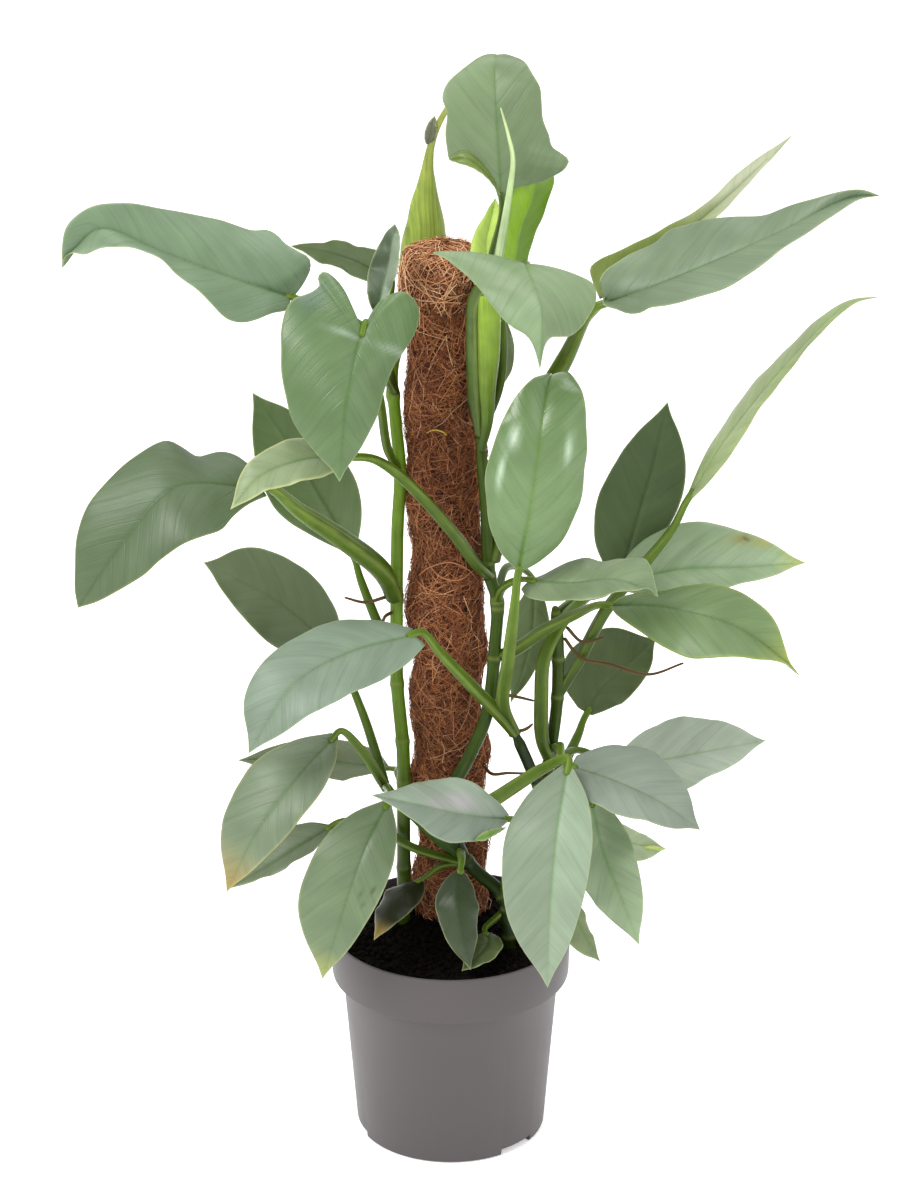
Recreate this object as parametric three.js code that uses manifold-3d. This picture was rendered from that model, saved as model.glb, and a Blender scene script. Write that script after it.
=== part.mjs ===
// Potted silver queen philodendron climbing a coir pole, in a nursery pot.
// Millimetres, +Z up, origin in the middle of the pot's underside, -Y is the front.
import * as THREE from 'three';
import { mergeVertices } from 'three/addons/utils/BufferGeometryUtils.js';
import Module from 'manifold-3d';

const wasm = await Module();
wasm.setup();

// Fit
const SEAT_GAP = 0.3;

// Pot
const POT_HEIGHT = 155;
const POT_RIM_RADIUS = 85;
const POT_BAND_HEIGHT = 34;
const POT_BAND_FOOT_RADIUS = 84;
const POT_NECK_RADIUS = 76.5;
const POT_FOOT_RADIUS = 67;
const POT_WALL = 2;
const POT_FLOOR = 5;
const POT_CHANNEL_DEPTH = 3;
const POT_CHANNEL_INNER = 26;
const POT_CHANNEL_OUTER = 59;
const POT_NECK_STEP = 3;
const POT_SEGMENTS = 36;
const DRAIN_HOLES = 8;
const DRAIN_HOLE_RADIUS = 5;
const HOLE_SEGMENTS = 10;
const FOOT_NOTCHES = 3;
const FOOT_NOTCH_WIDTH = 29;
const FOOT_NOTCH_HEIGHT = 5;
const FOOT_NOTCH_REACH = 20;
const FOOT_NOTCH_FIRST = 45;

// Soil
const SOIL_EDGE_HEIGHT = 148;
const SOIL_HEAP = 12;
const SOIL_CRUMB = 0.9;
const SOIL_RINGS = 5;

// Coir pole
const POLE_FOOT = [1, 24, 110];
const POLE_TOP = [-6, 24, 650];
const POLE_RADIUS = 24.5;
const POLE_LUMP = 2.4;
const POLE_TIE_PITCH = 72;
const POLE_ROWS = 30;
const POLE_CROWN_HEIGHT = 12;
const POLE_CROWN_SHARE = 0.72;
const POLE_LUMP_FROM = 168;
const POLE_LUMP_RISE = 20;
const POLE_SIDES = 16;
const STICK_RADIUS = 8;
const STICK_FOOT = 14;
const STICK_TOP = 610;
const STICK_SIDES = 12;

// Blades
const BLADE_THICKNESS = 0.8;
const RIB_HALF_WIDTH = 1.4;
const RIB_DEPTH = 1.2;
const WIDEST_AT = 0.36;
const LOBE_REACH = 0.26;
const BLADE_ROWS = [0, 0.07, 0.17, 0.3, 0.46, 0.63, 0.79, 0.92];
const MARGIN_AT = [0, 0.1, 0.25, 0.45, 0.65, 0.85, 1];
const PLAIN_MARGIN = [0.3, 0.66, 0.95, 1, 0.8, 0.42];
const BLADE_MIDDLE = 0.55;
const BLADE_COLUMNS = 7;
const RIB_COLUMN = 3;

// Stems and stalks
const STALK_TIP_RADIUS = 1.3;
const STALK_LEAD = 7;
const STALK_GAP = 0.6;
const STEM_SIDES = 7;
const STALK_SIDES = 5;
const ROOT_RADIUS = 0.9;
const ROOT_SIDES = 5;
const STEM_FOOT_Z = 118;
const STEM_SUNK_STEP = 24;
const STEM_STEPS_PER_POINT = 1.4;
const HOLE_CLEARANCE = 0.8;
const HOLE_HEIGHT = 100;

const vector = (p) => new THREE.Vector3(p[0], p[1], p[2]);

// Materials
const surface = (color, roughness) => new THREE.MeshStandardMaterial({ color, roughness, metalness: 0 });
const potPlastic = surface('#6f6868', 0.45);
const soilCrumb = surface('#15100c', 0.95);
const coirFibre = surface('#7a4326', 0.95);
const stickWood = surface('#a98758', 0.8);
const stemGreen = surface('#4f7a22', 0.5);
const sheathGreen = surface('#86b43c', 0.45);
const leafSilver = surface('#8fa993', 0.42);
const rootBrown = surface('#4a3222', 0.8);

const plant = new THREE.Group();

function addPiece(name, geometry, material) {
  const mesh = new THREE.Mesh(geometry, material);
  mesh.name = name;
  plant.add(mesh);
}

// Solids

function toSolid(geometry) {
  const bare = geometry.clone();
  bare.deleteAttribute('normal');
  bare.deleteAttribute('uv');
  const merged = mergeVertices(bare, 1e-4);
  const mesh = new wasm.Mesh({
    numProp: 3,
    vertProperties: new Float32Array(merged.attributes.position.array),
    triVerts: new Uint32Array(merged.index.array),
  });
  return new wasm.Manifold(mesh);
}

function toGeometry(solid) {
  const mesh = solid.getMesh();
  const geometry = new THREE.BufferGeometry();
  geometry.setAttribute('position', new THREE.BufferAttribute(new Float32Array(mesh.vertProperties), 3));
  geometry.setIndex(new THREE.BufferAttribute(new Uint32Array(mesh.triVerts), 1));
  geometry.computeVertexNormals();
  return geometry;
}

function fuse(geometries) {
  const [first, ...rest] = geometries.map(toSolid);
  return rest.reduce((whole, piece) => whole.add(piece), first);
}

// A closed skin over rows of rings, capped at both ends.
function skinRings(rings) {
  const sides = rings[0].length;
  const points = rings.flat();
  const faces = [];
  for (let row = 0; row < rings.length - 1; row += 1) {
    for (let side = 0; side < sides; side += 1) {
      const a = row * sides + side;
      const b = row * sides + (side + 1) % sides;
      faces.push(a, b, b + sides, a, b + sides, a + sides);
    }
  }
  for (const [row, turn] of [[0, -1], [rings.length - 1, 1]]) {
    const middle = points.length;
    const sum = rings[row].reduce((total, p) => total.add(p), new THREE.Vector3());
    points.push(sum.divideScalar(sides));
    for (let side = 0; side < sides; side += 1) {
      const a = row * sides + side;
      const b = row * sides + (side + 1) % sides;
      faces.push(middle, turn > 0 ? a : b, turn > 0 ? b : a);
    }
  }
  const geometry = new THREE.BufferGeometry().setFromPoints(points);
  geometry.setIndex(faces);
  geometry.computeVertexNormals();
  return geometry;
}

// A round rod along a smooth curve through its points, thicker or thinner along the way.
function rod(points, radii, sides, steps) {
  const curve = new THREE.CatmullRomCurve3(points.map(vector), false, 'centripetal');
  const frames = curve.computeFrenetFrames(steps, false);
  const rings = [];
  for (let step = 0; step <= steps; step += 1) {
    const along = step / steps;
    const centre = curve.getPointAt(along);
    const place = along * (radii.length - 1);
    const before = Math.min(Math.floor(place), radii.length - 2);
    const radius = THREE.MathUtils.lerp(radii[before], radii[before + 1], place - before);
    const ring = [];
    for (let side = 0; side < sides; side += 1) {
      const angle = (side / sides) * Math.PI * 2;
      ring.push(centre.clone()
        .addScaledVector(frames.normals[step], Math.cos(angle) * radius)
        .addScaledVector(frames.binormals[step], Math.sin(angle) * radius));
    }
    rings.push(ring);
  }
  return skinRings(rings);
}

// An open surface given thickness: the same triangles above and below, joined round the edge.
function thicken(middle, above, below) {
  const normals = middle.attributes.normal;
  const places = middle.attributes.position;
  const count = places.count;
  const top = [];
  const bottom = [];
  for (let i = 0; i < count; i += 1) {
    const place = new THREE.Vector3().fromBufferAttribute(places, i);
    const normal = new THREE.Vector3().fromBufferAttribute(normals, i);
    top.push(place.clone().addScaledVector(normal, above[i]));
    bottom.push(place.clone().addScaledVector(normal, -below[i]));
  }
  const index = middle.index.array;
  const faces = [];
  const edges = new Map();
  for (let i = 0; i < index.length; i += 3) {
    const [a, b, c] = [index[i], index[i + 1], index[i + 2]];
    faces.push(a, b, c, a + count, c + count, b + count);
    for (const [from, to] of [[a, b], [b, c], [c, a]]) {
      if (!edges.delete(to + ' ' + from)) edges.set(from + ' ' + to, [from, to]);
    }
  }
  for (const [from, to] of edges.values()) {
    faces.push(from, from + count, to + count, from, to + count, to);
  }
  const geometry = new THREE.BufferGeometry().setFromPoints([...top, ...bottom]);
  geometry.setIndex(faces);
  geometry.computeVertexNormals();
  return geometry;
}

// Pot

function potGeometry() {
  const bandFoot = POT_HEIGHT - POT_BAND_HEIGHT;
  const neck = bandFoot - POT_NECK_STEP;
  const profile = [
    [0, 0],
    [POT_CHANNEL_INNER, 0],
    [POT_CHANNEL_INNER + 1, POT_CHANNEL_DEPTH],
    [POT_CHANNEL_OUTER - 1, POT_CHANNEL_DEPTH],
    [POT_CHANNEL_OUTER, 0],
    [POT_FOOT_RADIUS, 0],
    [POT_NECK_RADIUS, neck],
    [POT_BAND_FOOT_RADIUS, bandFoot],
    [POT_RIM_RADIUS, POT_HEIGHT - 1],
    [POT_RIM_RADIUS - 1, POT_HEIGHT],
    [POT_RIM_RADIUS - POT_WALL, POT_HEIGHT],
    [POT_BAND_FOOT_RADIUS - POT_WALL, bandFoot + POT_WALL],
    [POT_NECK_RADIUS - POT_WALL, neck + POT_WALL],
    [POT_FOOT_RADIUS - POT_WALL, POT_FLOOR],
    [0, POT_FLOOR],
  ];
  const shell = new THREE.LatheGeometry(profile.map(([r, z]) => new THREE.Vector2(r, z)), POT_SEGMENTS);
  shell.rotateX(Math.PI / 2);
  let pot = toSolid(shell);
  const holeRing = (POT_CHANNEL_INNER + POT_CHANNEL_OUTER) / 2;
  for (let hole = 0; hole < DRAIN_HOLES; hole += 1) {
    const angle = (hole / DRAIN_HOLES) * Math.PI * 2;
    const size = DRAIN_HOLE_RADIUS;
    const drill = new THREE.CylinderGeometry(size, size, POT_FLOOR * 3, HOLE_SEGMENTS);
    drill.rotateX(Math.PI / 2);
    drill.translate(Math.cos(angle) * holeRing, Math.sin(angle) * holeRing, 0);
    pot = pot.subtract(toSolid(drill));
  }
  for (let notch = 0; notch < FOOT_NOTCHES; notch += 1) {
    const cutter = new THREE.BoxGeometry(FOOT_NOTCH_WIDTH, FOOT_NOTCH_REACH, FOOT_NOTCH_HEIGHT * 2);
    cutter.translate(0, -POT_FOOT_RADIUS, 0);
    cutter.rotateZ(THREE.MathUtils.degToRad(FOOT_NOTCH_FIRST + notch * (360 / FOOT_NOTCHES)));
    pot = pot.subtract(toSolid(cutter));
  }
  return toGeometry(pot);
}

// Soil

// Height of the soil at a distance from the pot's axis: level at the wall, heaped at the pole.
function soilHeight(x, y) {
  const fromPole = Math.hypot(x - POLE_FOOT[0], y - POLE_FOOT[1]) / POT_RIM_RADIUS;
  const fromWall = 1 - Math.hypot(x, y) / (POT_RIM_RADIUS - POT_WALL);
  const heap = SOIL_HEAP * Math.exp(-4 * fromPole * fromPole) * Math.min(1, fromWall * 2.5);
  const crumbs = SOIL_CRUMB * Math.sin(x * 0.21 + 1.3) * Math.cos(y * 0.17) * Math.min(1, fromWall * 6);
  return SOIL_EDGE_HEIGHT + heap + crumbs;
}

function soilGeometry(stemFeet) {
  const bandFoot = POT_HEIGHT - POT_BAND_HEIGHT;
  const clear = POT_WALL + SEAT_GAP;
  const wall = [
    [POT_FOOT_RADIUS - clear, POT_FLOOR + SEAT_GAP],
    [POT_NECK_RADIUS - clear, bandFoot - POT_NECK_STEP + POT_WALL + SEAT_GAP],
    [POT_BAND_FOOT_RADIUS - clear, bandFoot + POT_WALL + SEAT_GAP],
    [POT_RIM_RADIUS - clear, SOIL_EDGE_HEIGHT],
  ];
  const rings = wall.map(([radius, z]) => soilRing(radius, () => z));
  for (let ring = 1; ring < SOIL_RINGS; ring += 1) {
    const radius = (POT_RIM_RADIUS - clear) * (1 - ring / SOIL_RINGS);
    rings.push(soilRing(radius, soilHeight));
  }
  let soil = toSolid(skinRings(rings));
  const coirHole = skinRings([POLE_FOOT[2] - SEAT_GAP, POLE_TOP[2]].map((z) => (
    poleRing(z, () => POLE_RADIUS + SEAT_GAP)
  )));
  soil = soil.subtract(toSolid(coirHole));
  soil = soil.subtract(toSolid(stickRod(STICK_RADIUS + SEAT_GAP, STICK_FOOT - SEAT_GAP, STICK_TOP)));
  for (const [x, y, radius] of stemFeet) {
    const bore = radius + HOLE_CLEARANCE;
    const drill = new THREE.CylinderGeometry(bore, bore, HOLE_HEIGHT, HOLE_SEGMENTS);
    drill.rotateX(Math.PI / 2);
    drill.translate(x, y, STEM_FOOT_Z - SEAT_GAP + HOLE_HEIGHT / 2);
    soil = soil.subtract(toSolid(drill));
  }
  return toGeometry(soil);
}

function soilRing(radius, height) {
  const ring = [];
  for (let side = 0; side < POT_SEGMENTS; side += 1) {
    const angle = (side / POT_SEGMENTS) * Math.PI * 2;
    const x = Math.cos(angle) * radius;
    const y = Math.sin(angle) * radius;
    ring.push(new THREE.Vector3(x, y, height(x, y)));
  }
  return ring;
}

// Coir pole

function poleAxis(z) {
  const along = (z - POLE_FOOT[2]) / (POLE_TOP[2] - POLE_FOOT[2]);
  return [
    THREE.MathUtils.lerp(POLE_FOOT[0], POLE_TOP[0], along),
    THREE.MathUtils.lerp(POLE_FOOT[1], POLE_TOP[1], along),
    z,
  ];
}

function poleRing(z, radiusAt) {
  const [cx, cy] = poleAxis(z);
  const ring = [];
  for (let side = 0; side < POLE_SIDES; side += 1) {
    const angle = (side / POLE_SIDES) * Math.PI * 2;
    const radius = radiusAt(angle);
    ring.push(new THREE.Vector3(cx + Math.cos(angle) * radius, cy + Math.sin(angle) * radius, z));
  }
  return ring;
}

function stickRod(radius, foot, top) {
  return rod([poleAxis(foot), poleAxis(top)], [radius, radius], STICK_SIDES, 1);
}

// The wrap swells between the turns of its tie and draws in under them.
function coirGeometry() {
  const rings = [];
  const foot = POLE_FOOT[2];
  const crown = POLE_TOP[2] - POLE_CROWN_HEIGHT;
  const heights = [];
  for (let row = 0; row <= POLE_ROWS; row += 1) heights.push(foot + (crown - foot) * (row / POLE_ROWS));
  heights.push(crown + POLE_CROWN_HEIGHT * 0.6, crown + POLE_CROWN_HEIGHT * 0.9, POLE_TOP[2]);
  for (const z of heights) {
    const intoCrown = Math.max(0, z - crown) / POLE_CROWN_HEIGHT;
    const shoulder = POLE_CROWN_SHARE + (1 - POLE_CROWN_SHARE) * Math.sqrt(1 - intoCrown * intoCrown);
    const free = Math.min(1, Math.max(0, (z - POLE_LUMP_FROM) / POLE_LUMP_RISE));
    const turn = (z / POLE_TIE_PITCH) * Math.PI * 2;
    rings.push(poleRing(z, (angle) => (POLE_RADIUS + POLE_LUMP * Math.cos(angle - turn) * free) * shoulder));
  }
  const bore = stickRod(STICK_RADIUS + SEAT_GAP, foot - SEAT_GAP, STICK_TOP + SEAT_GAP);
  return toGeometry(toSolid(skinRings(rings)).subtract(toSolid(bore)));
}

// Blades

// How far out the margin lies at a place along the rib, as a share of the widest.
function marginShare(shares, along) {
  const spline = new THREE.CubicInterpolant(MARGIN_AT, [...shares, 0], 1);
  return Math.max(0.02, spline.evaluate(along)[0]);
}

function bladeGeometry(leaf) {
  const { rib, left, right, lobes = [6, 6], cup = 0.06, wave = 1.2, waves = 3 } = leaf;
  const { margins = [PLAIN_MARGIN, PLAIN_MARGIN] } = leaf;
  const curve = new THREE.CatmullRomCurve3(rib.map(vector), false, 'centripetal');
  const centre = curve.getPointAt(WIDEST_AT);
  const heading = curve.getTangentAt(WIDEST_AT);
  const halves = [left, right].map((edge) => {
    const reach = vector(edge).sub(centre);
    reach.addScaledVector(heading, -reach.dot(heading));
    return { width: reach.length(), aside: reach.normalize() };
  });

  const points = [];
  const above = [];
  const below = [];
  const rowOf = (along) => {
    const place = curve.getPointAt(along);
    const tangent = curve.getTangentAt(along);
    const turn = new THREE.Quaternion().setFromUnitVectors(heading, tangent);
    const [toLeft, toRight] = halves.map((half) => half.aside.clone().applyQuaternion(turn));
    const up = toRight.clone().sub(toLeft).cross(tangent).normalize();
    const ridge = RIB_DEPTH * (1 - along) + 0.1;
    const half = (aside, side) => {
      const reach = halves[side].width * marginShare(margins[side], along);
      const inner = Math.min(RIB_HALF_WIDTH, reach * 0.3) / reach;
      return [inner, BLADE_MIDDLE, 1].map((across) => {
        const swept = Math.max(0, (across - inner) / (1 - inner));
        const back = lobes[side] * Math.pow(Math.max(0, 1 - along / LOBE_REACH), 2) * Math.pow(swept, 1.4);
        const bulge = cup * reach * 4 * across * (1 - across);
        const ripple = wave * Math.sin(Math.PI * 2 * waves * along + side) * across * across
          * Math.sin(Math.PI * along);
        return place.clone().addScaledVector(aside, across * reach)
          .addScaledVector(up, bulge + ripple).addScaledVector(tangent, -back);
      });
    };
    const row = [...half(toLeft, 0).reverse(), place, ...half(toRight, 1)];
    row.forEach((point, column) => {
      points.push(point);
      above.push(BLADE_THICKNESS / 2);
      below.push(BLADE_THICKNESS / 2 + (column === RIB_COLUMN ? ridge : 0));
    });
  };
  BLADE_ROWS.forEach(rowOf);
  points.push(curve.getPointAt(1));
  above.push(BLADE_THICKNESS / 2);
  below.push(BLADE_THICKNESS / 2);

  const faces = [];
  for (let row = 0; row < BLADE_ROWS.length - 1; row += 1) {
    for (let column = 0; column < BLADE_COLUMNS - 1; column += 1) {
      const a = row * BLADE_COLUMNS + column;
      const b = a + BLADE_COLUMNS;
      faces.push(a, a + 1, b + 1, a, b + 1, b);
    }
  }
  const tip = points.length - 1;
  for (let column = 0; column < BLADE_COLUMNS - 1; column += 1) {
    const a = (BLADE_ROWS.length - 1) * BLADE_COLUMNS + column;
    faces.push(a, a + 1, tip);
  }
  const middle = new THREE.BufferGeometry().setFromPoints(points);
  middle.setIndex(faces);
  middle.computeVertexNormals();
  return thicken(middle, above, below);
}

// Leaves. The rib runs from the stalk to the tip. Left and right are where the margins lie at the
// widest place, seen from above with the tip ahead. The stalk's route starts inside its stem.
const leaves = [
  {
    name: 'leaf_crown', stem: 'stem_right', lobes: [-4, -4], cup: 0.03, wave: 0.6,
    rib: [[34, -2, 689], [32, 1, 722], [30, 8, 755], [30, 26, 781], [37, 66, 762]],
    left: [-5, 2, 744], right: [64, 0, 737],
    margins: [[0.04, 0.4, 0.95, 1, 0.62, 0.12], [0.05, 0.95, 1.06, 0.92, 0.6, 0.12]],
    stalk: [[20, -2, 524], [22, 0, 549], [22, 0, 584], [25, -2, 612], [27, -2, 649]],
    radius: 3,
  },
  {
    name: 'leaf_centre_top', stem: 'stem_right', lobes: [0, 0], wave: 0.6,
    rib: [[52, -30, 640], [49, -60, 662], [58, -105, 650], [57, -145, 621]],
    left: [92, -62, 650], right: [-12, -62, 673],
    margins: [[0.4, 0.8, 1, 0.97, 0.62, 0.13], [0.35, 0.8, 1.02, 0.86, 0.5, 0.1]],
    stalk: [[20, -4, 524], [14, -10, 560], [13, -15, 596], [20, -21, 618], [40, -22, 629]],
    radius: 5.5,
  },
  {
    name: 'leaf_dark_back', stem: 'stem_right', lobes: [2, 2],
    rib: [[26, 58, 598], [26, 62, 572], [22, 66, 545], [17, 68, 519]],
    left: [8, 62, 562], right: [41, 62, 562],
    margins: [[0.3, 0.6, 0.9, 1, 0.8, 0.4], [0.3, 0.6, 0.9, 1.15, 1.1, 0.6]],
    stalk: [[20, -4, 524], [34, 16, 556], [35, 42, 592], [30, 54, 606]],
  },
  {
    name: 'leaf_right_long', stem: 'stem_right', lobes: [8, 2],
    rib: [[102, 0, 616], [152, -10, 640], [210, -14, 668], [262, -10, 693], [281, -12, 695]],
    left: [166, 25, 668], right: [163, -45, 635],
    margins: [[0.5, 0.85, 1, 0.88, 0.64, 0.34], [0.1, 0.48, 0.6, 0.7, 0.72, 0.5]],
    stalk: [[28, 4, 430], [42, 22, 480], [60, 32, 530], [78, 28, 568]],
    radius: 6.5,
  },
  {
    name: 'leaf_right_behind', stem: 'stem_right', lobes: [2, 2], wave: 0.5,
    rib: [[111, 46, 608], [148, 60, 637], [188, 75, 668], [232, 88, 708]],
    left: [155, 88, 637], right: [155, 42, 645],
    stalk: [[70, 32, 552], [84, 40, 580], [98, 42, 598]],
  },
  {
    name: 'leaf_glossy', stem: 'stem_centre', lobes: [2, 2], cup: 0.1,
    rib: [[46, -40, 442], [54, -60, 500], [60, -56, 548], [66, -26, 573], [70, 10, 558]],
    left: [22, -52, 511], right: [86, -50, 511],
    margins: [[0.1, 0.52, 0.9, 1, 0.9, 0.55], [0.12, 0.55, 0.9, 1, 1.08, 0.8]],
    stalk: [[45, -16, 310], [36, -24, 337], [39, -32, 372], [43, -38, 412]],
    radius: 5,
  },
  {
    name: 'leaf_curled_pale', stem: 'stem_right', lobes: [2, 2],
    rib: [[-69, -75, 536], [-92, -88, 540], [-122, -103, 534], [-142, -112, 514]],
    left: [-98, -108, 531], right: [-105, -80, 550],
    stalk: [
      [27, 2, 421], [18, -14, 436], [3, -24, 462], [-17, -30, 489], [-35, -36, 510], [-50, -52, 526],
    ],
    radius: 4.6,
  },
  {
    name: 'leaf_narrow_front', stem: 'stem_right', lobes: [2, 2],
    rib: [[54, -28, 430], [81, -42, 434], [114, -52, 440], [139, -60, 431]],
    left: [92, -30, 447], right: [92, -66, 428],
    margins: [[0.3, 0.7, 0.95, 1, 0.95, 0.8], [0.5, 0.9, 1, 0.95, 0.8, 0.5]],
    stalk: [[32, 0, 402], [36, -12, 418]],
  },
  {
    name: 'leaf_grey_back', stem: 'stem_right', lobes: [2, 2],
    rib: [[59, 75, 381], [58, 85, 345], [52, 85, 316], [43, 80, 291]],
    left: [42, 78, 344], right: [70, 82, 350],
    stalk: [[32, 2, 404], [38, 36, 412], [50, 62, 402]],
  },
  {
    name: 'leaf_heart', stem: 'stem_left', lobes: [68, 40],
    rib: [[-56, -68, 621], [-61, -83, 608], [-67, -104, 580], [-71, -114, 534]],
    left: [-36, -78, 610], right: [-106, -80, 603],
    margins: [[0.3, 0.88, 1, 0.96, 0.8, 0.42], [0.75, 0.98, 1, 1, 0.85, 0.46]],
    stalk: [[-34, 14, 492], [-42, -2, 514], [-46, -22, 553], [-50, -50, 592]],
  },
  {
    name: 'leaf_olive', stem: 'stem_left', lobes: [2, 2],
    rib: [[-46, 32, 628], [-67, 40, 636], [-89, 52, 638], [-108, 60, 638]],
    left: [-71, 62, 641], right: [-77, 25, 634],
    margins: [[0.2, 0.6, 0.95, 1, 0.8, 0.42], [0.2, 0.6, 0.95, 1, 0.8, 0.42]],
    stalk: [[-37, 18, 545], [-45, 22, 580], [-42, 26, 606]],
    radius: 4,
  },
  {
    name: 'leaf_left_long', stem: 'stem_left', lobes: [4, 15], wave: 1.8,
    rib: [[-103, -30, 631], [-140, -42, 648], [-187, -48, 668], [-227, -50, 684], [-250, -60, 661]],
    left: [-147, -75, 633], right: [-150, 0, 671],
    margins: [[0.3, 0.8, 0.86, 0.66, 0.32, 0.42], [0.66, 1.02, 0.98, 0.88, 0.72, 0.42]],
    stalk: [[-37, 16, 548], [-54, 2, 586], [-80, -14, 614]],
  },
  {
    name: 'leaf_large_left', stem: 'stem_left', lobes: [2, 4],
    rib: [[-125, -60, 509], [-180, -83, 518], [-211, -96, 488], [-244, -105, 442]],
    left: [-160, -112, 493], right: [-193, -42, 534],
    margins: [[0.12, 0.4, 0.8, 1.02, 0.9, 0.42], [0.5, 0.72, 0.9, 1.08, 1.12, 0.78]],
    stalk: [[-38, 10, 402], [-46, -8, 428], [-72, -32, 461], [-100, -48, 488]],
    radius: 6.2,
  },
  {
    name: 'leaf_dark_left', stem: 'stem_left', lobes: [0, 0],
    rib: [[-70, 40, 425], [-90, 60, 454], [-115, 75, 493], [-137, 85, 524]],
    left: [-59, 58, 458], right: [-126, 52, 458],
    margins: [[0.25, 0.62, 0.95, 1, 0.8, 0.42], [0.12, 0.42, 0.8, 1, 0.85, 0.45]],
    stalk: [[-38, 8, 352], [-44, 14, 366], [-52, 22, 382], [-62, 32, 406]],
    radius: 3.6,
  },
  {
    name: 'leaf_edge_on_low', stem: 'stem_left', lobes: [0, 0],
    rib: [[-44, 38, 259], [-71, 50, 257], [-114, 50, 260], [-151, 45, 262]],
    left: [-67, 25, 255], right: [-71, 66, 267],
    margins: [[0.1, 0.6, 0.95, 1, 0.8, 0.42], [0.1, 0.6, 0.95, 1, 0.8, 0.42]],
    stalk: [[-34, 8, 262], [-37, 24, 262]],
  },
  {
    name: 'leaf_olive_left', stem: 'stem_right', lobes: [2, 2],
    rib: [[-82, 40, 346], [-106, 60, 364], [-141, 75, 384], [-174, 85, 397]],
    left: [-93, 62, 391], right: [-132, 52, 354],
    margins: [[0.3, 0.66, 0.95, 1.08, 1.02, 0.62], [0.3, 0.66, 0.95, 1, 0.8, 0.42]],
    stalk: [[-44, -25, 272], [-52, -6, 292], [-62, 16, 314]],
    radius: 3.4,
  },
  {
    name: 'leaf_front_left', stem: 'stem_centre', lobes: [4, 2],
    rib: [[-25, -45, 397], [-68, -70, 395], [-104, -92, 381], [-134, -110, 339]],
    left: [-67, -100, 377], right: [-71, -48, 411],
    margins: [[0.35, 0.7, 0.95, 1, 0.85, 0.45], [0.2, 0.6, 0.95, 1.08, 1.08, 0.75]],
    stalk: [[45, -16, 310], [34, -24, 328], [13, -34, 356], [-7, -40, 382]],
    radius: 4.5,
  },
  {
    name: 'leaf_low_left', stem: 'stem_right', lobes: [2, 2],
    rib: [[-79, -45, 321], [-102, -70, 305], [-130, -88, 272], [-152, -92, 227]],
    left: [-85, -80, 298], right: [-137, -60, 305],
    margins: [[0.1, 0.58, 0.92, 1, 0.85, 0.42], [0.12, 0.52, 0.86, 1, 0.86, 0.5]],
    stalk: [[-44, -25, 272], [-52, -30, 290], [-62, -34, 308]],
    radius: 3.6,
  },
  {
    name: 'leaf_low_left_behind', stem: 'stem_right', lobes: [0, 0],
    rib: [[-84, 20, 222], [-106, 10, 212], [-131, 0, 199], [-156, -10, 188]],
    left: [-106, -2, 207], right: [-104, 28, 227],
    margins: [[0.1, 0.6, 0.95, 1, 0.8, 0.42], [0.1, 0.55, 0.9, 1, 0.8, 0.42]],
    stalk: [[10, -14, 210], [-28, -10, 221], [-56, 12, 230]],
  },
  {
    name: 'leaf_front_foot', stem: 'stem_right', lobes: [2, 2],
    rib: [[-43, -60, 278], [-57, -85, 258], [-73, -105, 218], [-87, -112, 171]],
    left: [-35, -85, 255], right: [-94, -92, 245],
    margins: [[0.1, 0.6, 0.95, 1, 0.8, 0.42], [0.1, 0.52, 0.9, 1.1, 1.06, 0.56]],
    stalk: [[-44, -25, 272], [-43, -40, 281]],
  },
  {
    name: 'leaf_low_small', stem: 'stem_right', lobes: [0, 0],
    rib: [[-21, -18, 199], [-35, -35, 198], [-46, -48, 187], [-53, -55, 171]],
    left: [-32, -52, 187], right: [-47, -30, 193],
    stalk: [[10, -14, 210], [-6, -10, 206]],
    radius: 2.4,
  },
  {
    name: 'leaf_front_tilted', stem: 'stem_right', lobes: [4, 2],
    rib: [[39, -70, 271], [10, -100, 289], [-20, -120, 306], [-52, -130, 318]],
    left: [3, -135, 285], right: [8, -78, 305],
    stalk: [[37, -20, 187], [40, -30, 215], [44, -48, 246]],
    radius: 3.4,
  },
  {
    name: 'leaf_foot_centre', stem: 'stem_right', lobes: [0, 0],
    rib: [[7, -40, 219], [5, -62, 206], [9, -74, 181], [14, -78, 160]],
    left: [19, -56, 200], right: [-10, -60, 201],
    margins: [[0.1, 0.6, 0.95, 1, 0.8, 0.42], [0.1, 0.6, 0.95, 1, 0.8, 0.42]],
    stalk: [[7, -13, 218], [7, -24, 223]],
  },
  {
    name: 'leaf_foot_small', stem: 'stem_right', lobes: [0, 0],
    rib: [[25, -36, 167], [26, -52, 167], [18, -66, 163], [8, -76, 158]],
    left: [36, -56, 165], right: [12, -50, 165],
    stalk: [[39, -22, 178], [32, -24, 172]],
    radius: 2.4,
  },
  {
    name: 'leaf_front_large', stem: 'stem_right', lobes: [2, 2],
    rib: [[79, -75, 312], [71, -110, 275], [67, -125, 230], [66, -128, 173]],
    left: [97, -105, 284], right: [35, -108, 263],
    margins: [[0.12, 0.6, 0.95, 1, 0.82, 0.42], [0.1, 0.55, 0.9, 1, 0.86, 0.46]],
    stalk: [[3, -14, 243], [14, -24, 254], [31, -36, 270], [48, -48, 288], [64, -58, 304]],
    radius: 5,
  },
  {
    name: 'leaf_side_upper', stem: 'stem_side', lobes: [2, 2],
    rib: [[83, -46, 300], [115, -68, 298], [142, -82, 290], [169, -90, 273]],
    left: [127, -38, 312], right: [107, -96, 290],
    margins: [[0.3, 0.7, 0.95, 1, 0.82, 0.45], [0.1, 0.5, 0.9, 1, 0.82, 0.45]],
    stalk: [[70, 5, 289], [76, -18, 302]],
  },
  {
    name: 'leaf_side_far', stem: 'stem_side', lobes: [0, 0],
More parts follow.
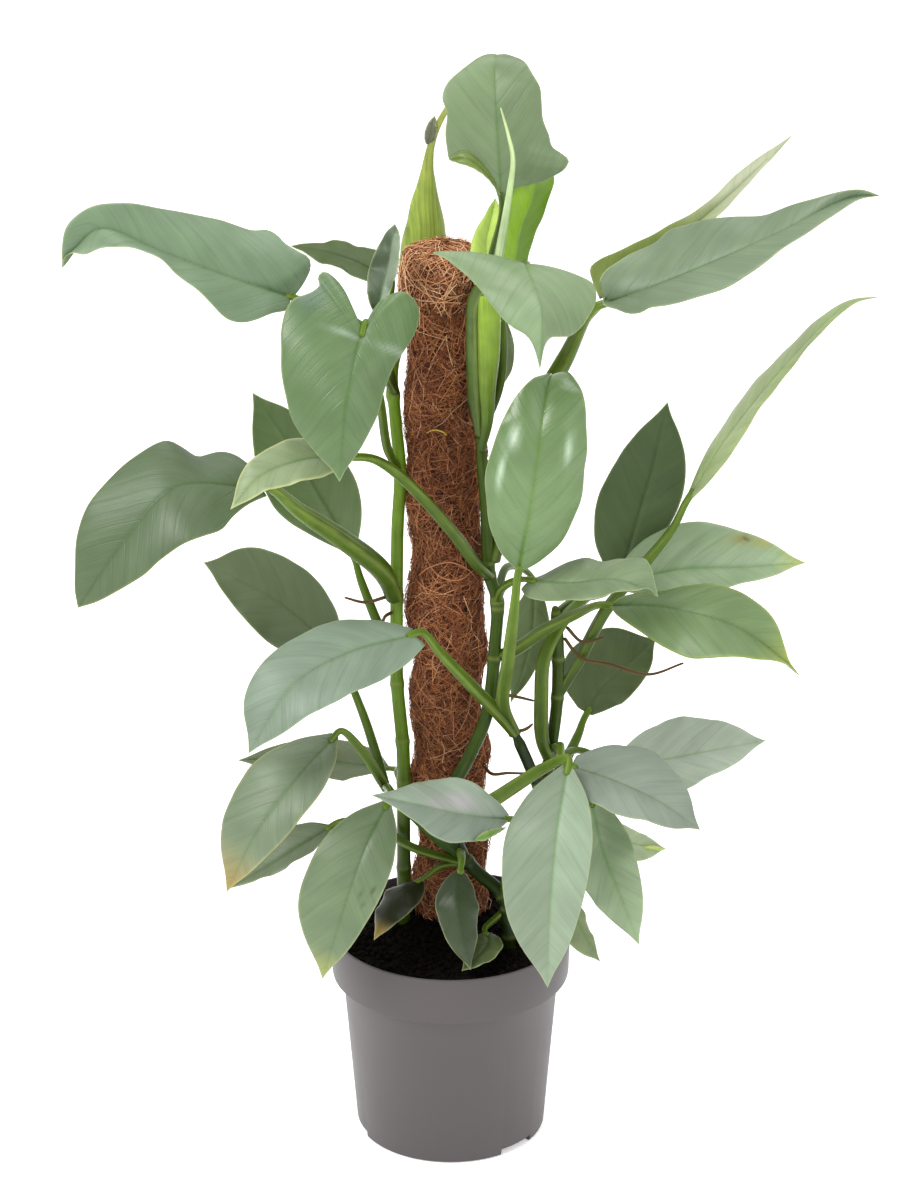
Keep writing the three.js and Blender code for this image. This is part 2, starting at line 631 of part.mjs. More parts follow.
    rib: [[116, 35, 261], [150, 20, 274], [184, 8, 287], [219, 0, 298]],
    left: [153, 50, 291], right: [159, -28, 271],
    stalk: [[69, 5, 276], [88, 28, 278], [102, 38, 268]],
  },
  {
    name: 'leaf_side_low', stem: 'stem_side', lobes: [2, 2],
    rib: [[98, -20, 261], [105, -50, 238], [118, -68, 209], [130, -75, 178]],
    left: [128, -55, 234], right: [88, -50, 215],
    margins: [[0.2, 0.6, 0.95, 1, 0.82, 0.42], [0.2, 0.6, 0.95, 1, 0.8, 0.42]],
    stalk: [[66, 5, 240], [82, 4, 260]],
  },
  {
    name: 'leaf_side_behind', stem: 'stem_side', lobes: [0, 0], wave: 0.8,
    rib: [[95, 30, 212], [117, 30, 207], [136, 28, 203], [153, 25, 202]],
    left: [122, 40, 214], right: [118, 12, 197],
    stalk: [[64, 7, 215], [78, 22, 219]],
    radius: 2.4,
  },
  {
    name: 'leaf_side_foot', stem: 'stem_side', lobes: [0, 0],
    rib: [[75, -6, 191], [86, -20, 175], [95, -30, 160], [105, -38, 145]],
    left: [99, -22, 164], right: [77, -34, 161],
    stalk: [[62, 12, 182], [70, 4, 197]],
    radius: 2.2,
  },
  {
    name: 'leaf_right_lower', stem: 'stem_right', lobes: [4, 3],
    rib: [[108, 0, 400], [149, -24, 408], [196, -38, 399], [237, -45, 367]],
    left: [166, -2, 414], right: [148, -62, 390],
    margins: [[0.4, 0.72, 0.95, 1.12, 1.12, 0.82], [0.5, 0.82, 1, 0.95, 0.66, 0.26]],
    stalk: [[31, -2, 362], [46, -10, 372], [62, -14, 386], [86, -11, 398]],
    radius: 4.5,
  },
  {
    name: 'leaf_right_middle', stem: 'stem_side', lobes: [2, 2],
    rib: [[118, 45, 398], [159, 35, 412], [203, 25, 418], [244, 18, 424]],
    left: [156, 60, 436], right: [164, 15, 404],
    stalk: [[69, 2, 284], [64, -6, 302], [63, -8, 334], [65, -7, 364], [78, 6, 386], [98, 34, 394]],
    radius: 5,
  },
  {
    name: 'leaf_dark_upright', stem: 'stem_side', lobes: [2, 2],
    rib: [[121, 72, 397], [131, 76, 434], [142, 78, 476], [150, 74, 521]],
    left: [160, 74, 446], right: [101, 72, 442],
    margins: [[0.2, 0.5, 0.82, 1.02, 0.9, 0.45], [0.4, 0.75, 0.98, 1, 0.8, 0.42]],
    stalk: [[72, 8, 390], [88, 38, 388], [110, 62, 384]],
    radius: 3,
  },
  {
    name: 'leaf_edge_on_high', stem: 'stem_side', lobes: [0, 0], wave: 0.6,
    rib: [[164, 20, 473], [187, 25, 511], [230, 30, 567], [269, 30, 607], [289, 30, 612]],
    left: [195, 56, 523], right: [212, -8, 535],
    margins: [[0.3, 0.7, 0.95, 1, 0.8, 0.4], [0.3, 0.8, 1, 0.62, 0.4, 0.2]],
    stalk: [[73, 5, 328], [89, 10, 355], [107, 14, 390], [134, 18, 424], [153, 20, 450]],
    radius: 4.6,
  },
  {
    name: 'leaf_dark_right', stem: 'stem_side', lobes: [0, 0],
    rib: [[97, 60, 292], [106, 72, 305], [128, 85, 320], [146, 90, 336]],
    left: [127, 70, 300], right: [82, 78, 330],
    margins: [[0.2, 0.6, 0.95, 1, 0.85, 0.5], [0.25, 0.62, 0.95, 1, 0.95, 0.6]],
    stalk: [[70, 5, 289], [82, 32, 281], [92, 50, 281]],
    radius: 4,
  },
];

// Sheaths round the new growth at the top
const sheaths = [
  {
    name: 'sheath_wide', lobes: [0, 0], wave: 0,
    rib: [[37, 10, 624], [41, 10, 643], [47, 10, 669], [53, 10, 686], [59, 11, 710]],
    left: [29.3, 0.9, 656], right: [56, 14, 654],
    margins: [[0.8, 0.9, 1, 1.05, 1.15, 1], [0.8, 0.9, 1, 1.05, 1.15, 1]],
  },
  {
    name: 'sheath_narrow', lobes: [0, 0], wave: 0,
    rib: [[17, 5, 629], [21, 6, 651], [25, 6, 670], [31, 7, 688]],
    left: [14, -1, 653], right: [26.4, 0.4, 652],
    margins: [[1, 1, 1, 0.95, 0.7, 0.4], [1, 1, 1, 0.95, 0.7, 0.4]],
  },
];

// Climbing stems, each rising straight from its hole in the soil
const stems = [
  {
    name: 'stem_left', radius: 5, foot: [-33, 8], top: 4,
    route: [
      [-33, 8, 165], [-33, 8, 230], [-33, 8, 287], [-37, 8, 340], [-37, 10, 383], [-36, 12, 450],
      [-34, 14, 492], [-37, 17, 530], [-39, 24, 560], [-34, 46, 574], [-23, 62, 592],
    ],
  },
  {
    name: 'stem_right', radius: 5, foot: [41, -25], top: 4,
    route: [
      [41, -25, 165], [37, -20, 187], [16, -14, 206], [7, -13, 218], [3, -14, 243], [1, -14, 265],
      [13, -14, 292], [25, -10, 322], [31, -4, 376], [32, 0, 404], [27, 3, 421], [24, 0, 477],
      [20, -3, 524],
    ],
  },
  {
    name: 'stem_centre', radius: 4.5, foot: [60, -8], top: 4,
    route: [[60, -8, 165], [62, -7, 215], [62, -6, 262], [55, -10, 283], [45, -16, 310]],
  },
  {
    name: 'stem_side', radius: 4.6, foot: [62, 14], top: 4.2,
    route: [
      [62, 14, 165], [63, 10, 215], [66, 7, 258], [70, 5, 289], [74, 5, 326], [74, 6, 372], [72, 8, 396],
    ],
  },
];

// The low branch on the left that carries three leaves grows from the right stem.
const branches = [
  {
    stem: 'stem_right', radii: [4.4, 3.4],
    route: [[7, -13, 218], [-7, -18, 230], [-27, -24, 254], [-44, -25, 273]],
  },
];

// Rolled young leaves
const rolled = [
  {
    name: 'leaf_rolled_young', radii: [9, 14, 16, 15.5, 11, 5.2, 4, 3, 1.6, 0.7],
    route: [
      [-21, 66, 595], [-19, 68, 640], [-20, 68, 670], [-19, 68, 689], [-12, 68, 710], [-3, 68, 730],
      [1, 68, 738], [16, 68, 745],
    ],
  },
  {
    name: 'leaf_new_spear', radii: [3, 3.3, 3.3, 2.8, 2.2, 1.5, 0.6],
    route: [
      [25.9, -6, 598], [28, -12, 626], [32, -16, 654], [36, -17, 680], [39, -17, 700], [41, -17, 721],
      [38, -17, 737], [33, -15, 755],
    ],
  },
];

// Aerial roots
const roots = [
  [[-44, 5, 404], [-58, -2, 403], [-72, -8, 409]],
  [[-40, 6.6, 392], [-45, 0, 391], [-48, -4, 380]],
  [[78.4, 4, 374], [90, 2, 360], [110, 2, 355], [136, -4, 350], [160, -12, 362]],
  [[80, 4, 382], [91, 4, 371], [106, 5, 374]],
  [[32.4, -9.4, 338], [46, -6, 334], [58, -4, 330]],
  [[50, -16, 312], [54, -13, 314], [57, -11, 316]],
  [[22.6, 12, 275], [29, -1, 273], [40, -6, 276], [51.8, -8.4, 277]],
];

// Assembly

function stalkRod(leaf) {
  const curve = new THREE.CatmullRomCurve3(leaf.rib.map(vector), false, 'centripetal');
  const [base, heading] = [curve.getPointAt(0), curve.getTangentAt(0)];
  const back = [STALK_GAP + STALK_LEAD, STALK_GAP];
  const ends = back.map((gap) => base.clone().addScaledVector(heading, -gap));
  const foot = leaf.radius ?? 3;
  const route = [...leaf.stalk, ...ends.map((end) => end.toArray())];
  return rod(route, [foot, foot * 0.9, foot * 0.7, STALK_TIP_RADIUS], STALK_SIDES, route.length + 2);
}

function stemSolid({ name, radius, foot, top, route }) {
  const [x, y] = foot;
  const sunk = [[x, y, STEM_FOOT_Z], [x, y, STEM_FOOT_Z + STEM_SUNK_STEP]];
  const steps = Math.round(route.length * STEM_STEPS_PER_POINT);
  const pieces = [rod([...sunk, ...route], [radius, top], STEM_SIDES, steps)];
  for (const branch of branches.filter(({ stem }) => stem === name)) {
    pieces.push(rod(branch.route, branch.radii, STEM_SIDES, branch.route.length + 2));
  }
  for (const leaf of leaves.filter(({ stem }) => stem === name)) pieces.push(stalkRod(leaf));
  return toGeometry(fuse(pieces));
}

addPiece('pot', potGeometry(), potPlastic);
addPiece('soil', soilGeometry(stems.map(({ foot, radius }) => [...foot, radius])), soilCrumb);
addPiece('coir_wrap', coirGeometry(), coirFibre);
addPiece('pole_stick', stickRod(STICK_RADIUS, STICK_FOOT, STICK_TOP), stickWood);
for (const stem of stems) addPiece(stem.name, stemSolid(stem), stemGreen);
for (const leaf of leaves) addPiece(leaf.name, bladeGeometry(leaf), leafSilver);
for (const sheath of sheaths) addPiece(sheath.name, bladeGeometry(sheath), sheathGreen);
for (const { name, route, radii } of rolled) {
  addPiece(name, rod(route, radii, STEM_SIDES, radii.length + 2), sheathGreen);
}
roots.forEach((route, index) => {
  const steps = route.length + 1;
  addPiece('aerial_root_' + (index + 1), rod(route, [ROOT_RADIUS, 0.6], ROOT_SIDES, steps), rootBrown);
});

export default plant;
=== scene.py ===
# Looks of the potted silver queen philodendron on its coir pole.
# Tables are in millimetres, +Z up, with the front towards -Y, as the model is drawn.
import math

import bpy
import numpy as np
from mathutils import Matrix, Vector


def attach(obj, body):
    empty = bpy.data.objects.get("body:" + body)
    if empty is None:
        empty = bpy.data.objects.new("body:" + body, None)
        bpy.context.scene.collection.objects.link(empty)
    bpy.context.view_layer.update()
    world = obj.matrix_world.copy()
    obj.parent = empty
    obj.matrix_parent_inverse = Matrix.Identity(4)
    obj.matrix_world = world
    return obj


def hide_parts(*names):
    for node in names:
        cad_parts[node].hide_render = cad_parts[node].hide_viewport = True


MM = 0.001

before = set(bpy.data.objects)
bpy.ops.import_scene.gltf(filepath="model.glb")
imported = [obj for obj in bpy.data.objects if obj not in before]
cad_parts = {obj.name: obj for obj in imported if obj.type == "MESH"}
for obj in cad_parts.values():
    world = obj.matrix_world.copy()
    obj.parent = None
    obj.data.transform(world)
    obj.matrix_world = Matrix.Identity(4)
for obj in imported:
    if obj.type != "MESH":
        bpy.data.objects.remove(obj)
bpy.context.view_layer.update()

# Pot
POT_HEIGHT = 155
POT_RIM_RADIUS = 85
POT_BAND_FOOT = 121
POT_BAND_FOOT_RADIUS = 84
POT_NECK = 118
POT_NECK_RADIUS = 76.5
POT_FOOT_RADIUS = 67
POT_WALL = 2
POT_FLOOR = 5
POT_TURNS = 144
POT_SHARP_FROM = 38
CHANNEL_DEPTH = 3
CHANNEL_RADII = (26, 59)
DRAIN_HOLES = 8
DRAIN_HOLE_RADIUS = 5
FOOT_NOTCHES = 3
FOOT_NOTCH_SIZE = (29, 20, 10)
FOOT_NOTCH_FIRST = 45

# Soil
SOIL_EDGE = 148
SOIL_HEAP = 12

# Coir pole
POLE_FOOT = (1, 24, 110)
POLE_TOP = (-6, 24, 650)
POLE_RADIUS = 24.5
POLE_LUMP = 2.4
POLE_TIE_PITCH = 72
POLE_LUMP_FROM = 168
POLE_LUMP_RISE = 20
FELT_DEPTH = 1.8
FELT_CROWN = 12
# Smaller swells of the fibre: turns round the pole, change with height, size and phase of each.
POLE_SWELLS = ((2, 0.052, 1.3, 0.4), (3, -0.094, 1.0, 2.1), (5, 0.17, 0.7, 4.0))

# Blades
WIDEST_AT = 0.36
LOBE_REACH = 0.26
# Shares of the length at which a blade's widths are given.
MARGIN_AT = (0, 0.1, 0.25, 0.45, 0.65, 0.85, 0.94, 1)
PLAIN_MARGIN = (0.3, 0.66, 0.95, 1, 0.8, 0.42)
NARROW_FOOT_MARGIN = (0.1, 0.6, 0.95, 1, 0.8, 0.42)
DRIP_TIP = 0.34
BLADE_THICKNESS = 0.7
BLADE_ROWS = 64
VEIN_SPACING = 15
RIPPLE = 0.3
RIPPLES = 7.3
THIN_EDGE = 2
THIN_EDGE_LOSS = 0.6
RIB_GROOVE_REACH = 1.3
RIB_RIDGE_REACH = 1.2
# Shares of the way from the rib to the margin at which a blade has points.
ACROSS = (0, 0.02, 0.05, 0.1, 0.17, 0.26, 0.36, 0.47, 0.58, 0.69, 0.79, 0.87, 0.93, 0.97, 1)

# Stems and stalks
STEM_FOOT_Z = 118
STEM_SUNK_STEP = 24
NODE_SWELL = 0.13
NODE_REACH = 3.2
SCAR_ABOVE = 1.5
SCAR_REACH = 1.3
SCAR_SHARE = 0.6
STALK_LEAD = 7
STALK_TIP_RADIUS = 2.4
STALK_LAP = 5
STALK_FLARE = 0.18
STALK_FLARE_REACH = 9
# A tube's end rings are this share of its width, so that it ends rounded.
ROUND_END = 0.55
# Turn from the top of a stalk to its raised edges, in radians.
WING_TURN = 0.95


# Colours and nodes

def linear(code):
    """The linear colour of an sRGB hex code."""
    channels = [int(code[i:i + 2], 16) / 255 for i in (1, 3, 5)]
    return tuple(c / 12.92 if c <= 0.04045 else ((c + 0.055) / 1.055) ** 2.4 for c in channels) + (1.0,)


def tissue(code):
    """The same colour as an array, to work out tints from."""
    return np.array(linear(code))


def blend(first, second, share):
    """A mixture of two tints."""
    return first * (1 - share) + second * share


def add(tree, kind, inputs=None, **settings):
    """Adds a node with its settings, values and links. A node given as a value gives its first output."""
    node = tree.nodes.new(kind)
    for name, value in settings.items():
        setattr(node, name, value)
    for socket, value in (inputs or {}).items():
        if isinstance(value, bpy.types.Node):
            value = value.outputs[0]
        if isinstance(value, bpy.types.NodeSocket):
            tree.links.new(value, node.inputs[socket])
        else:
            node.inputs[socket].default_value = value
    return node


def new_material(name):
    """An empty material, and its node tree."""
    material = bpy.data.materials.new(name)
    material.use_nodes = True
    material.node_tree.nodes.clear()
    return material, material.node_tree


def finish_material(tree, inputs, relief=None, height=0.0002, strength=0.5):
    """Ends a material in one shader, with relief where it is given."""
    shader = add(tree, "ShaderNodeBsdfPrincipled", inputs)
    if relief is not None:
        bump = add(tree, "ShaderNodeBump", {"Height": relief, "Distance": height, "Strength": strength})
        tree.links.new(bump.outputs["Normal"], shader.inputs["Normal"])
    add(tree, "ShaderNodeOutputMaterial", {"Surface": shader})


# Meshes

def put_piece(name, points, faces, materials, node, places=None, tints=None, face_material=None):
    """Makes a mesh in metres from points in millimetres, and lets it stand for a node of the model."""
    mesh = bpy.data.meshes.new(name)
    mesh.from_pydata((np.asarray(points) * MM).tolist(), [], faces)
    if places is not None:
        layer = mesh.attributes.new("grown_place", "FLOAT_VECTOR", "POINT")
        layer.data.foreach_set("vector", np.asarray(places, np.float32).ravel())
    if tints is not None:
        layer = mesh.attributes.new("tissue_tint", "FLOAT_COLOR", "POINT")
        layer.data.foreach_set("color", np.asarray(tints, np.float32).ravel())
    for material in materials:
        mesh.materials.append(material)
    if face_material is not None:
        mesh.polygons.foreach_set("material_index", face_material)
    mesh.polygons.foreach_set("use_smooth", [True] * len(mesh.polygons))
    mesh.update()
    piece = bpy.data.objects.new(name, mesh)
    bpy.context.scene.collection.objects.link(piece)
    return settle(piece, node)


def settle(piece, node):
    """The piece rides on the plant and stands for its node."""
    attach(piece, "root")
    if node:
        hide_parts(node)
    return piece


def plain_mesh(piece):
    """Turns an object with modifiers into the plain mesh that they make."""
    graph = bpy.context.evaluated_depsgraph_get()
    made = bpy.data.meshes.new_from_object(piece.evaluated_get(graph))
    piece.modifiers.clear()
    piece.data = made
    return piece


def run_tree(name, tree, inputs, settings, mesh=None):
    """A piece made by a node tree with named inputs, left as a plain mesh."""
    piece = bpy.data.objects.new(name, mesh or bpy.data.meshes.new(name))
    bpy.context.scene.collection.objects.link(piece)
    modifier = piece.modifiers.new("made", "NODES")
    modifier.node_group = tree
    for label, value in settings.items():
        modifier[inputs[label]] = value
    return plain_mesh(piece)


def open_tree(name, sockets):
    """A new geometry tree with named inputs, and where each is found."""
    tree = bpy.data.node_groups.new(name, "GeometryNodeTree")
    inputs = {}
    for label, kind, value in sockets:
        socket = tree.interface.new_socket(label, in_out="INPUT", socket_type=kind)
        if value is not None:
            socket.default_value = value
        inputs[label] = socket.identifier
    tree.interface.new_socket("Geometry", in_out="OUTPUT", socket_type="NodeSocketGeometry")
    return tree, inputs


# Curves

def distances(path):
    """How far each point of a path lies from its start, along it."""
    return np.concatenate([[0], np.cumsum(np.linalg.norm(np.diff(path, axis=0), axis=1))])


def smooth_path(points, spacing=1.0):
    """Evenly spaced points along a smooth curve through the given ones."""
    given = [Vector(p) for p in points]
    knots = [given[0] * 2 - given[1], *given, given[-1] * 2 - given[-2]]
    steps = 24
    fine = []
    for p0, p1, p2, p3 in zip(knots, knots[1:], knots[2:], knots[3:]):
        d0, d1, d2 = ((b - a).length ** 0.5 for a, b in ((p0, p1), (p1, p2), (p2, p3)))
        t1 = ((p1 - p0) / d0 - (p2 - p0) / (d0 + d1) + (p2 - p1) / d1) * d1
        t2 = ((p2 - p1) / d1 - (p3 - p1) / (d1 + d2) + (p3 - p2) / d2) * d1
        for step in range(steps):
            t = step / steps
            fine.append(p1 * (2 * t ** 3 - 3 * t ** 2 + 1) + t1 * (t ** 3 - 2 * t ** 2 + t)
                        + p2 * (3 * t ** 2 - 2 * t ** 3) + t2 * (t ** 3 - t ** 2))
    fine.append(given[-1])
    fine = np.array(fine)
    run = distances(fine)
    count = max(12, int(run[-1] / spacing))
    even = np.linspace(0, run[-1], count)
    return np.stack([np.interp(even, run, fine[:, axis]) for axis in range(3)], axis=1)


def directions(path):
    """Unit directions along a path."""
    ahead = np.gradient(path, axis=0)
    return ahead / np.linalg.norm(ahead, axis=1, keepdims=True)


def along_path(path, share):
    """The place and direction at a share of a path's length."""
    where = share * (len(path) - 1)
    heads = directions(path)
    index = np.arange(len(path))
    place = Vector([np.interp(where, index, path[:, axis]) for axis in range(3)])
    heading = Vector([np.interp(where, index, heads[:, axis]) for axis in range(3)]).normalized()
    return place, heading


def smooth_values(stations, values, wanted):
    """Values between stations, along a smooth line."""
    x = np.array(stations, float)
    y = np.array(values, float)
    slopes = np.gradient(y, x)
    spot = np.clip(np.searchsorted(stations, wanted, side="right") - 1, 0, len(stations) - 2)
    width = x[spot + 1] - x[spot]
    t = (wanted - x[spot]) / width
    return ((2 * t ** 3 - 3 * t ** 2 + 1) * y[spot] + (t ** 3 - 2 * t ** 2 + t) * width * slopes[spot]
            + (3 * t ** 2 - 2 * t ** 3) * y[spot + 1] + (t ** 3 - t ** 2) * width * slopes[spot + 1])


def smoothstep(low, high, value):
    """Rises smoothly from 0 at low to 1 at high."""
    t = np.clip((value - low) / (high - low), 0, 1)
    return t * t * (3 - 2 * t)


# Blades

def drawn_edges(leaf, path, shares):
    """The two edges of a blade: drawn as curves where they are given, or else from widths at stations."""
    if "outline" in leaf:
        curves = [smooth_path(points) for points in leaf["outline"]]
        return [[along_path(curve, share)[0] for share in shares] for curve in curves]
    centre, heading = along_path(path, WIDEST_AT)
    margins = leaf.get("margins", (PLAIN_MARGIN, PLAIN_MARGIN))
    lobes = leaf.get("lobes", (0, 0))
    edges = []
    for margin, lobe, widest in zip(margins, lobes, (leaf["left"], leaf["right"])):
        reach = Vector(widest) - centre
        reach -= heading * reach.dot(heading)
        widths = smooth_values(MARGIN_AT, (*margin, margin[-1] * DRIP_TIP, 0), shares)
        edge = []
        for share, width in zip(shares, np.maximum(widths, 0)):
            place, tangent = along_path(path, share)
            aside = reach.copy()
            aside.rotate(heading.rotation_difference(tangent))
            back = lobe * max(0, 1 - share / LOBE_REACH) ** 2
            edge.append(place + aside * width - tangent * back)
        edges.append(edge)
    return edges


def paint_blade(leaf, places, length):
    """Tints of both sides of a blade: halves, tip, spots, rib and edges. On some leaves the halves and
    spots carry painted light and shade. Alpha carries the gloss.
    """
    from_rib = np.abs(places[:, :, 0:1])
    ahead = np.clip(places[:, :, 1:2] / length, 0, 1)
    half = smoothstep(-2, 2, places[:, :, 0:1])
    # Halves: a tint for each side of the rib. On some leaves one half is painted lighter as sheen and the
    # other darker as shade.
    left, right = (tissue(code) for code in leaf.get("halves", (leaf["tint"],) * 2))
    top = blend(left, right, half)
    toward_tip = smoothstep(*leaf.get("tip_from", (0.8, 1)), ahead)
    top = blend(top, tissue(leaf.get("tip_tint", leaf["tint"])), toward_tip)
    low = np.broadcast_to(tissue(leaf.get("under", UNDERSIDE)), top.shape)
    # Spots: marks of the leaf, and on some leaves painted highlights, sheen and shade.
    for x, y, wide, tall, code in leaf.get("spots", ()):
        near = np.exp(-((places[:, :, 0:1] - x) / wide) ** 2 - ((places[:, :, 1:2] - y) / tall) ** 2)
        top = blend(top, tissue(code), near)
    near_rib = np.exp(-(from_rib / leaf.get("rib_width", 1.1)) ** 2) * (1 - ahead) ** 0.5
    rib_tint = tissue(leaf["rib_tint"]) if "rib_tint" in leaf else top * np.array(RIB_SHADE)
    top = blend(top, rib_tint, near_rib)
    low = blend(low, low * np.array(RIB_SHADE), 0.5 * near_rib)
    at_edge = smoothstep(leaf.get("edge_width", 1.1), 0, places[:, :, 2:3]) * leaf.get("edge", 0.5)
    edge_tint = tissue(leaf.get("edge_tint", EDGE_TINT))
    top = blend(top, edge_tint, at_edge)
    low = blend(low, edge_tint, at_edge)
    top[:, :, 3] = leaf.get("gloss", 0.3)
    low[:, :, 3] = UNDER_GLOSS
    return np.concatenate([top.reshape(-1, 4), low.reshape(-1, 4)])


def grow_blade(leaf, upper, lower):
    """A leaf blade as a thin closed skin, with its rib, cupping and waves."""
    path = smooth_path(leaf["rib"])
    heading = along_path(path, WIDEST_AT)[1]
    flat_up = (Vector(leaf["right"]) - Vector(leaf["left"])).cross(heading).normalized()
    wave = leaf.get("wave", 1.2)
    waves = leaf.get("waves", 3)
    length = len(path) - 1
    shares = np.linspace(0, 1, BLADE_ROWS)
    rib_shares = shares ** leaf.get("lag", 1)
    edges = drawn_edges(leaf, path, shares)
    across = np.array(ACROSS)
    bend = leaf.get("cup", 0.06) * 4 * (1 - 2 * across)
    middle = (bend + np.concatenate([[bend[0]], bend[:-1]])) / 2
    grid, places = [], []
    for row, share in enumerate(shares):
        place, tangent = along_path(path, rib_shares[row])
        up = flat_up.copy()
        up.rotate(heading.rotation_difference(tangent))
        line, spots = [], []
        for side in (0, 1):
            offset = edges[side][row] - place
            reach = max(offset.length, 0.02)
            aside = offset / reach
            lift = (up - aside * up.dot(aside)).normalized()
            steps = np.diff(across, prepend=0) * reach
            out = np.cumsum(np.cos(middle) * steps)
            rise = np.cumsum(np.sin(middle) * steps)
            fade = math.sin(math.pi * share)
            rise += wave * np.sin(math.tau * waves * share + side) * across ** 2 * fade
            rise += RIPPLE * np.sin(math.tau * RIPPLES * share + 2 * side) * across ** 3 * fade
            forward = offset.dot(tangent)
            square = math.sqrt(max(0, offset.length ** 2 - forward ** 2)) * (1 if side else -1)
            along = rib_shares[row] * length
            line.append([np.array(place + aside * o + lift * r) for o, r in zip(out, rise)])
            spots.append([(a * square, along + a * forward, (1 - a) * reach) for a in across])
        grid.append(line[0][:0:-1] + line[1])
        places.append(spots[0][:0:-1] + spots[1])
    grid = np.array(grid)
    places = np.array(places)
    rows, columns = grid.shape[:2]
    normals = np.cross(np.gradient(grid, axis=1), np.gradient(grid, axis=0))
    normals /= np.maximum(np.linalg.norm(normals, axis=2, keepdims=True), 1e-9)
    from_rib = np.abs(places[:, :, 0])
    ahead = rib_shares[:, None]
    edge_taper = 1 - THIN_EDGE_LOSS * smoothstep(THIN_EDGE, 0, places[:, :, 2])
    groove = leaf.get("groove", 0.5) * (1 - ahead) * np.exp(-(from_rib / RIB_GROOVE_REACH) ** 2)
    ridge = leaf.get("ridge", 1.3) * (1 - ahead) ** 0.7 * np.exp(-(from_rib / RIB_RIDGE_REACH) ** 2)
    half_thick = BLADE_THICKNESS / 2 * edge_taper
    above = grid + normals * (half_thick - groove)[:, :, None]
    below = grid - normals * (half_thick + ridge)[:, :, None]
    points = np.concatenate([above.reshape(-1, 3), below.reshape(-1, 3)])
    faces, kinds = [], []
    count = rows * columns
    for r in range(rows - 1):
        for c in range(columns - 1):
            a = r * columns + c
            b = a + columns
            faces.append((a, a + 1, b + 1, b))
            faces.append((count + a, count + b, count + b + 1, count + a + 1))
            kinds += [0, 1]
    rim = [r * columns for r in range(rows)]
    rim += [(rows - 1) * columns + c for c in range(1, columns)]
    rim += [r * columns + columns - 1 for r in range(rows - 2, -1, -1)]
    rim += list(range(columns - 2, 0, -1))
    for a, b in zip(rim, rim[1:] + rim[:1]):
        faces.append((a, b, count + b, count + a))
        kinds.append(0)
    tints = paint_blade(leaf, places, length)
    node = leaf.get("node", leaf["name"])
    both = np.concatenate([places.reshape(-1, 3)] * 2)
    put_piece(leaf["name"] + "_blade", points, faces, [upper, lower], node, both, tints, kinds)


# Stems, stalks and roots

def tube(path, radii, sides, up=(0, 0, 1), profile=None, swell=None):
    """Rings of a tube along a path, its faces, and where each point lies round and along it."""
    heads = directions(path)
    length = distances(path)
    share = length / length[-1]
    radius = np.interp(share, np.linspace(0, 1, len(radii)), radii)
    if swell is not None:
        radius = radius * swell(length)
    side = np.array(up, float)
    angles = np.arange(sides) / sides * math.tau
    points, places = [], []
    last = len(path) - 1
    for i in range(len(path)):
        side = side - heads[i] * side.dot(heads[i])
        side /= np.linalg.norm(side)
        other = np.cross(heads[i], side)
        shape = profile(angles, share[i]) if profile else np.ones(sides)
        round_end = ROUND_END if i in (0, last) else 1
        for angle, size in zip(angles, shape * radius[i] * round_end):
            points.append(path[i] + side * math.cos(angle) * size + other * math.sin(angle) * size)
            places.append((math.sin(angle) * radius[i] * 1.5, length[i], math.cos(angle)))
    faces = []
    for i in range(last):
        for k in range(sides):
            a = i * sides + k
            b = i * sides + (k + 1) % sides
            faces.append((a, b, b + sides, a + sides))
    faces.append(tuple(range(sides))[::-1])
    faces.append(tuple(range(last * sides, (last + 1) * sides)))
    return np.array(points), faces, np.array(places)


def join(parts):
    """One mesh from several sets of points, faces, places and tints."""
    points, faces, places, tints = [], [], [], []
    start = 0
    for part_points, part_faces, part_places, part_tints in parts:
        points.append(part_points)
        faces += [tuple(start + i for i in face) for face in part_faces]
        places.append(part_places)
        tints.append(part_tints)
        start += len(part_points)
    return np.concatenate(points), faces, np.concatenate(places), np.concatenate(tints)


def share_along(places):
    """How far each point of a tube lies along it, as a share."""
    return places[:, 1:2] / places[:, 1].max()


def winged(depth, wing):
    """The outline of a leaf stalk: a groove along its upper side between two raised edges."""
    def outline(angles, share):
        turned = np.abs((angles + math.pi) % math.tau - math.pi)
        groove = depth * np.exp(-(turned / 0.45) ** 2)
        edges = wing * np.exp(-((turned - WING_TURN) / 0.28) ** 2)
        return 1 - groove + edges
    return outline


def stalk_part(leaf):
    """A leaf stalk from inside its stem to the underside of its blade's rib."""
    path = smooth_path(leaf["rib"])
    base, heading = along_path(path, 0)
    ends = [base - heading * STALK_LEAD, base + heading * STALK_LAP]
    route = smooth_path([*leaf["stalk"], *ends], 1.5)
    middle_heading = along_path(path, WIDEST_AT)[1]
    across = Vector(leaf["right"]) - Vector(leaf["left"])
    up = across.cross(middle_heading).normalized()
    foot = leaf.get("radius", 3)
    shares = (leaf.get("foot_share", 0.75), 0.96, 0.95, 0.9, 0.8, 0.6)
    radii = [*(foot * share for share in shares), STALK_TIP_RADIUS]
    outline = winged(0.22, leaf.get("wing", 0.16))

    def flare(run):
        return 1 + STALK_FLARE * np.exp(-run / STALK_FLARE_REACH)

    points, faces, places = tube(route, radii, 18, up, profile=outline, swell=flare)
    foot_tint = tissue(leaf.get("stalk_foot", STALK_FOOT_TINT))
    tip_tint = tissue(leaf.get("stalk_tint", STALK_TINT))
    tints = blend(foot_tint, tip_tint, share_along(places))
    turn = np.arccos(np.clip(places[:, 2:3], -1, 1))
    on_wing = 0.45 * np.exp(-((turn - WING_TURN) / 0.32) ** 2)
    return points, faces, places, blend(tints, tissue(WING_TINT), on_wing)


